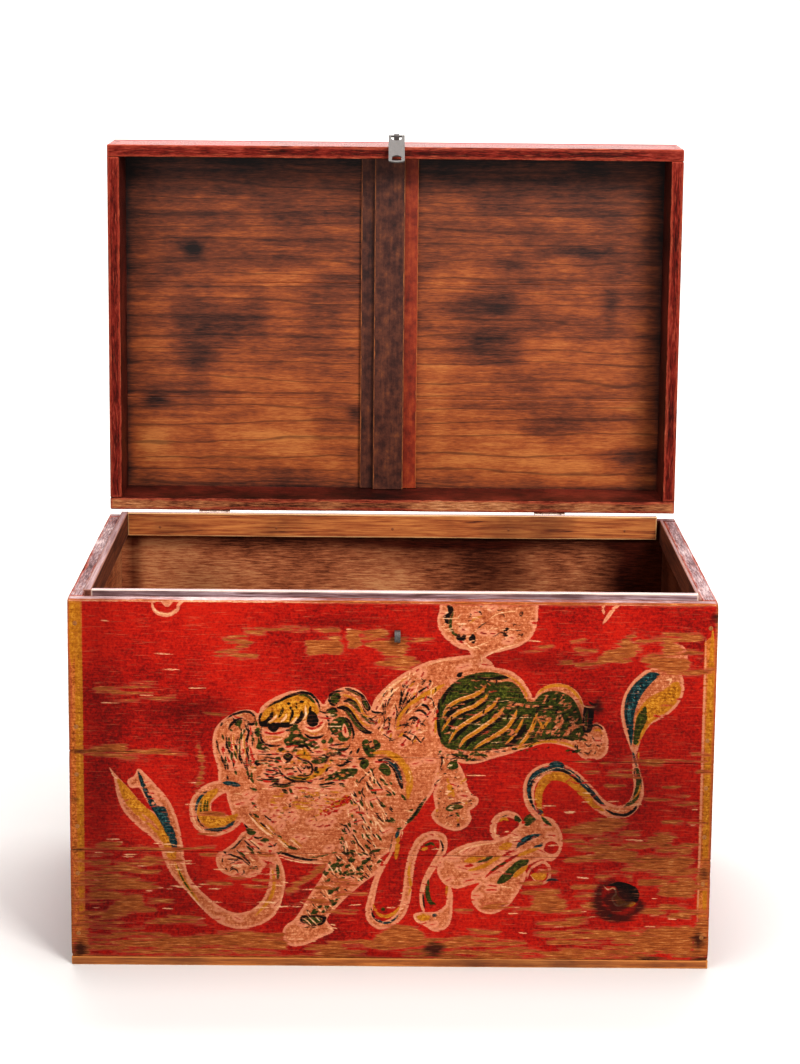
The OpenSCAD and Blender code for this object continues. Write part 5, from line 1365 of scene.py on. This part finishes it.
for noise, amount in ((lines, 0.7), (cloud, 0.9), (fibre, 0.7)):
    stain = add(tree, "Math", {0: noise, 1: amount, 2: stain}, operation="MULTIPLY_ADD")
colour = add(tree, "ValToRGB", {"Fac": add(tree, "Math", {0: stain, 1: 1.11}, operation="SUBTRACT")},
             stops=((0.1, "#210d06"), (0.3, "#5e301d"), (0.48, "#8a4828"), (0.66, "#b36230"),
                    (0.9, "#d48a4a")))
waves = add(tree, "Mapping", {"Vector": place, "Scale": (0.12, 1, 1)})
rings = add(tree, "TexWave", {"Vector": waves, "Scale": 17.0, "Distortion": 9.0, "Detail": 4.0,
                              "Detail Scale": 1.0, "Detail Roughness": 0.6},
            out="Fac", bands_direction="Z", wave_profile="SIN")
ring_line = add(tree, "MapRange", {"Value": rings, "From Min": 0.05, "From Max": 0.0, "To Max": 0.5})
colour = add(tree, "MixRGB", {"Fac": ring_line, "Color1": colour, "Color2": "#2e140a"})
outer = add(tree, "Math", {0: cloud, 1: 0.35, 2: fibre}, operation="MULTIPLY_ADD")
outer = add(tree, "ValToRGB", {"Fac": outer}, stops=((0.5, "#680f08"), (0.68, "#98180b"), (0.86, "#b62a14")))
outside = add(tree, "Attribute", {}, out="Fac", attribute_name="rim")
colour = add(tree, "MixRGB", {"Fac": outside, "Color1": colour, "Color2": outer})
bump = add(tree, "Bump", {"Height": stain, "Strength": 0.4, "Distance": 0.0008})
shine = add(tree, "MapRange", {"Value": outside, "To Min": 0.5, "To Max": 0.15})
skin = add(tree, "BsdfPrincipled", {"Base Color": colour, "Roughness": 0.48, "Specular IOR Level": shine,
                                    "Normal": bump})
add(tree, "OutputMaterial", {"Surface": skin})


def lid_marks(points, p):
    """How pale the stained wood is, from 0 to 1: paler to the foot, plus soft ovals, less by the edges.
    "rim" is 1 on the outside and on the outer edges."""
    x, z = points[:, 0], points[:, 2]
    stain = 0.5 + 0.16 * (620 - z) / 200 + soft_ovals(x, z, lid_stains_and_shadow)
    # Painted shade: the stain value drops within a few millimetres of the edges, where the boards meet the
    # walls.
    edge = np.minimum.reduce([x - lid_inner[0], lid_inner[1] - x, z - lid_inner[2], lid_inner[3] - z])
    outside = ((p[:, 1] > p[:, 1].max() - 0.01) | (abs(p[:, 0]) > lid_half_w) | (p[:, 2] > lid_head)
               | (p[:, 2] < lid_foot))
    return points, {"stain": stain - 0.35 * np.exp(-np.maximum(edge, 0) / 7), "rim": outside.astype(float)}


for node in ("lid_board_front", "lid_board_middle", "lid_board_back"):
    board(node, 0, "lid", lid_board_wood, {}, length_step=3,
          side_steps=(4, 6, 4, 2.2), base=0.7, fields=lid_marks)

# The batten
# One stout strip down the middle of the lid holds its three boards together. Its middle is raised and its
# two thin flanges are nailed down.
batten_wood, tree, place = new_material("stained_batten")
along = add(tree, "Mapping", {"Vector": place, "Scale": (50, 50, 4)})
lines = add(tree, "TexNoise", {"Vector": along, "Scale": 5.0, "Detail": 8.0, "Roughness": 0.68})
mottle = add(tree, "TexNoise", {"Vector": place, "Scale": 70.0, "Detail": 7.0, "Roughness": 0.7})
value = add(tree, "Math", {0: lines, 1: 0.5, 2: mottle}, operation="MULTIPLY_ADD")
colour = add(tree, "ValToRGB", {"Fac": value},
             stops=((0.5, "#241009"), (0.68, "#52291d"), (0.82, "#6e3d29"), (0.98, "#94562e")))
# Painted light: the right flange is coloured warm and bright, as if lit, against the dark rest of the
# batten.
flank = add(tree, "Attribute", {}, out="Fac", attribute_name="flank")
warm = add(tree, "ValToRGB", {"Fac": value}, stops=((0.5, "#5a1a0c"), (0.72, "#983618"), (0.95, "#bb5526")))
colour = add(tree, "MixRGB", {"Fac": flank, "Color1": colour, "Color2": warm})
arris = add(tree, "Attribute", {}, out="Fac", attribute_name="arris")
arris = add(tree, "Math", {0: mottle, 1: 5.0, 2: arris}, operation="MULTIPLY_ADD")
rubbed = add(tree, "MapRange", {"Value": arris, "From Min": 3.6, "From Max": 2.8, "To Max": 0.8})
colour = add(tree, "MixRGB", {"Fac": rubbed, "Color1": colour, "Color2": "#c57a42"})
bump = add(tree, "Bump", {"Height": value, "Strength": 0.35, "Distance": 0.0006})
skin = add(tree, "BsdfPrincipled", {"Base Color": colour, "Roughness": 0.5, "Normal": bump})
add(tree, "OutputMaterial", {"Surface": skin})
batten_low, batten_high = corners_of("lid_batten")
raised_left, raised_right, flange_y = -24.25, 12.25, 294.9
outline = np.array([(batten_low[0], batten_high[1]), (batten_low[0], flange_y), (raised_left, flange_y),
                    (raised_left, batten_low[1]), (raised_right, batten_low[1]), (raised_right, flange_y),
                    (batten_high[0], flange_y), (batten_high[0], batten_high[1])])


def soft_outline(corners, radius, steps=4):
    """A closed outline with each corner cut round: between two points a radius from the corner, the curve is
    the quadratic that has the corner as its middle control point."""
    before, after = np.roll(corners, 1, 0), np.roll(corners, -1, 0)
    start = corners + (before - corners) / np.linalg.norm(before - corners, axis=1, keepdims=True) * radius
    end = corners + (after - corners) / np.linalg.norm(after - corners, axis=1, keepdims=True) * radius
    t = np.linspace(0, 1, steps + 1)[None, :, None]
    curve = (1 - t) ** 2 * start[:, None] + 2 * t * (1 - t) * corners[:, None] + t ** 2 * end[:, None]
    return curve.reshape(-1, 2)


ring = soft_outline(outline, 0.8)
steps = np.linalg.norm(np.diff(np.vstack([ring, ring[:1]]), axis=0), axis=1)
length = np.concatenate([[0], np.cumsum(steps)])
dense = np.unique(np.concatenate([length[:-1], np.arange(0.7, length[-1] - 0.5, 1.4)]))
ring = np.column_stack([np.interp(dense, length, np.append(ring[:, k], ring[0, k])) for k in (0, 1)])
heights = stations(batten_low[2], batten_high[2], 12)
rows, n = len(heights), len(ring)
points = np.concatenate([np.column_stack([ring, np.full(n, z)]) for z in heights])
proud_corners = outline[[1, 3, 4, 6]]
arris = np.minimum.reduce([np.hypot(points[:, 0] - x, points[:, 1] - y) for x, y in proud_corners])
# The right flange, which is coloured as if lit.
flank = np.clip((points[:, 0] - raised_right) / 0.6, 0, 1)
faces = ring_quads(rows, n).tolist() + ring_caps(rows, n)
piece = solid("lid_batten_wood", points, faces, "lid", batten_wood,
              {"arris": arris, "flank": flank})
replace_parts(piece, "lid_batten")


# The hinges
# Two small pressed-steel butts at the back, with their pins and screws, dull and spotted with rust.
def dull_steel(name, tones, rusts, roughness=0.42, metal=0.9, rust_from=0.56):
    """Old steel: a ramp on fine noise, with brown rust where a broader noise is high."""
    made, tree, place = new_material(name)
    fine = add(tree, "TexNoise", {"Vector": place, "Scale": 700.0, "Detail": 5.0, "Roughness": 0.6})
    broad = add(tree, "TexNoise", {"Vector": place, "Scale": 160.0, "Detail": 6.0, "Roughness": 0.65})
    colour = add(tree, "ValToRGB", {"Fac": fine}, stops=tones)
    rusty = add(tree, "MapRange", {"Value": broad, "From Min": rust_from, "From Max": rust_from + 0.12})
    rust = add(tree, "ValToRGB", {"Fac": fine}, stops=rusts)
    colour = add(tree, "MixRGB", {"Fac": rusty, "Color1": colour, "Color2": rust})
    shine = add(tree, "MapRange", {"Value": rusty, "To Min": metal, "To Max": 0.1})
    rough = add(tree, "MapRange", {"Value": rusty, "To Min": roughness, "To Max": 0.8})
    bump = add(tree, "Bump", {"Height": fine, "Strength": 0.25, "Distance": 0.0002})
    skin = add(tree, "BsdfPrincipled", {"Base Color": colour, "Metallic": shine, "Roughness": rough,
                                        "Normal": bump})
    add(tree, "OutputMaterial", {"Surface": skin})
    return made


def finish_nodes(material, *nodes):
    """Gives the model's own nodes a finish."""
    for node in nodes:
        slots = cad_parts[node].data.materials
        slots.clear()
        slots.append(material)


rust_tones = ((0.3, "#3a1a0c"), (0.6, "#6e3a1e"))
hinge_steel = dull_steel("dull_hinge_steel", ((0.3, "#8d7f76"), (0.6, "#c9b8ac")), rust_tones)
for part in ("leaf_box", "leaf_lid", "pin"):
    finish_nodes(hinge_steel, f"hinge_{part}_left", f"hinge_{part}_right")
finish_nodes(hinge_steel, "hinge_screws_box", "hinge_screws_lid")

# The hasp and its staples
# A galvanised strap hangs from a staple on the lid's front and drops over a second staple on the box.
strap_steel = dull_steel("galvanised_strap", ((0.3, "#4a4644"), (0.6, "#6a6460")), rust_tones,
                         0.55, 0.35, 0.64)
finish_nodes(strap_steel, "hasp_strap", "box_staple", "lid_staple")


# The nails
# Hand-driven iron nails and brads, their low heads dark with rust and level with the wood.
def nails(places, facing, head=2.6, shank=1.2, length=26.6, proud=0.15):
    """Turned nails in one mesh: a low domed head, a neck and a pointed shank, as one profile turned round
    each nail's own axis. The profile is half widths and heights over the wood."""
    profile = np.array([(0.01, proud), (head * 0.6, proud * 0.85), (head * 0.93, proud * 0.35),
                        (head, -0.25), (head, -0.7), (shank, -0.9), (shank, 3 - length), (0.01, -length)])
    angle = np.linspace(0, 2 * math.pi, 16, endpoint=False)
    normal = np.array(facing, float)
    across = np.cross(normal, (0.3, 0.5, 0.8))
    across /= np.linalg.norm(across)
    other = np.cross(normal, across)
    spokes = np.cos(angle)[:, None] * across + np.sin(angle)[:, None] * other
    turned = (profile[:, None, :1] * spokes + profile[:, None, 1:] * normal).reshape(-1, 3)
    one = ring_quads(len(profile), len(angle))[:, ::-1]
    places = np.array(places, float)
    points = (places[:, None] + turned[None]).reshape(-1, 3)
    faces = (np.arange(len(places))[:, None, None] * len(turned) + one[None]).reshape(-1, 4)
    return points, faces.tolist()


nail_iron, brown_nail, painted_nail = (
    dull_steel(name, tones, rust_tones, 0.6, metal, rust_from)
    for name, tones, metal, rust_from in (
        ("rusted_nail_iron", ((0.3, "#3d332d"), (0.6, "#6a5a50")), 0.7, 0.45),
        ("nail_iron_under_stain", ((0.3, "#7a4422"), (0.6, "#9a5c34")), 0.0, 0.6),
        ("nail_iron_under_old_paint", ((0.3, "#7a4a22"), (0.6, "#a86c30")), 0.0, 0.6)))


def drive(node, body, groups, material=nail_iron, **sizes):
    """Joins groups of nails with their own facings into one piece that stands for a node."""
    points, faces, count = [], [], 0
    for facing, places in groups:
        more, their_faces = nails(places, facing, **sizes)
        faces += [[i + count for i in face] for face in their_faces]
        points.append(more)
        count += len(more)
    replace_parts(solid(node + "_iron", np.concatenate(points), faces, body, material), node)


five_x, three_y, brad_z = (-278, -139, 0, 139, 278), (-157, 0, 157), 390.2
side_x, lid_side_x, lid_wall_y = (-332.3, 332.3), (-332.8, 332.8), (242.9, 274.9)
drive("front_nails", "box", [((0, -1, 0), [(x, -219, z) for x, heights in zip(side_x, (
    (35, 102, 154, 211, 263, 375), (35, 95, 147, 201, 253, 375))) for z in heights])], painted_nail)
drive("back_nails", "box", [((0, 1, 0), [(x, 219, z) for x in side_x for z in (35, 183, 235, 375)])])
drive("bottom_nails", "box", [((0, 0, -1), [(x, y, 0) for x in five_x for y in (-211.2, 211.2)]
                               + [(x, y, 0) for x in side_x for y in three_y])], proud=0.03)
drive("liner_brads", "box", [((0, 1, 0), [(x, -195.5, brad_z) for x in five_x]),
                             ((0, -1, 0), [(x, 195.5, brad_z) for x in five_x]),
                             ((1, 0, 0), [(-316.5, y, brad_z) for y in three_y]),
                             ((-1, 0, 0), [(320.5, y, brad_z) for y in three_y])],
      material=brown_nail, head=1.6, shank=0.8, length=16.6)
drive("lid_corner_nails", "lid", [((0, 0, side), [(x, y, z) for x in lid_side_x for y in lid_wall_y])
                                  for side, z in ((1, 843.9), (-1, 405.9))])
drive("lid_top_nails", "lid", [((0, 1, 0), [(x, 311.9, z) for x in five_x for z in (413.1, 836.7)]
                                + [(x, 311.9, z) for x in (*lid_side_x, -18.2, 6.2)
                                   for z in (467.9, 624.9, 781.9)])], length=21.6)
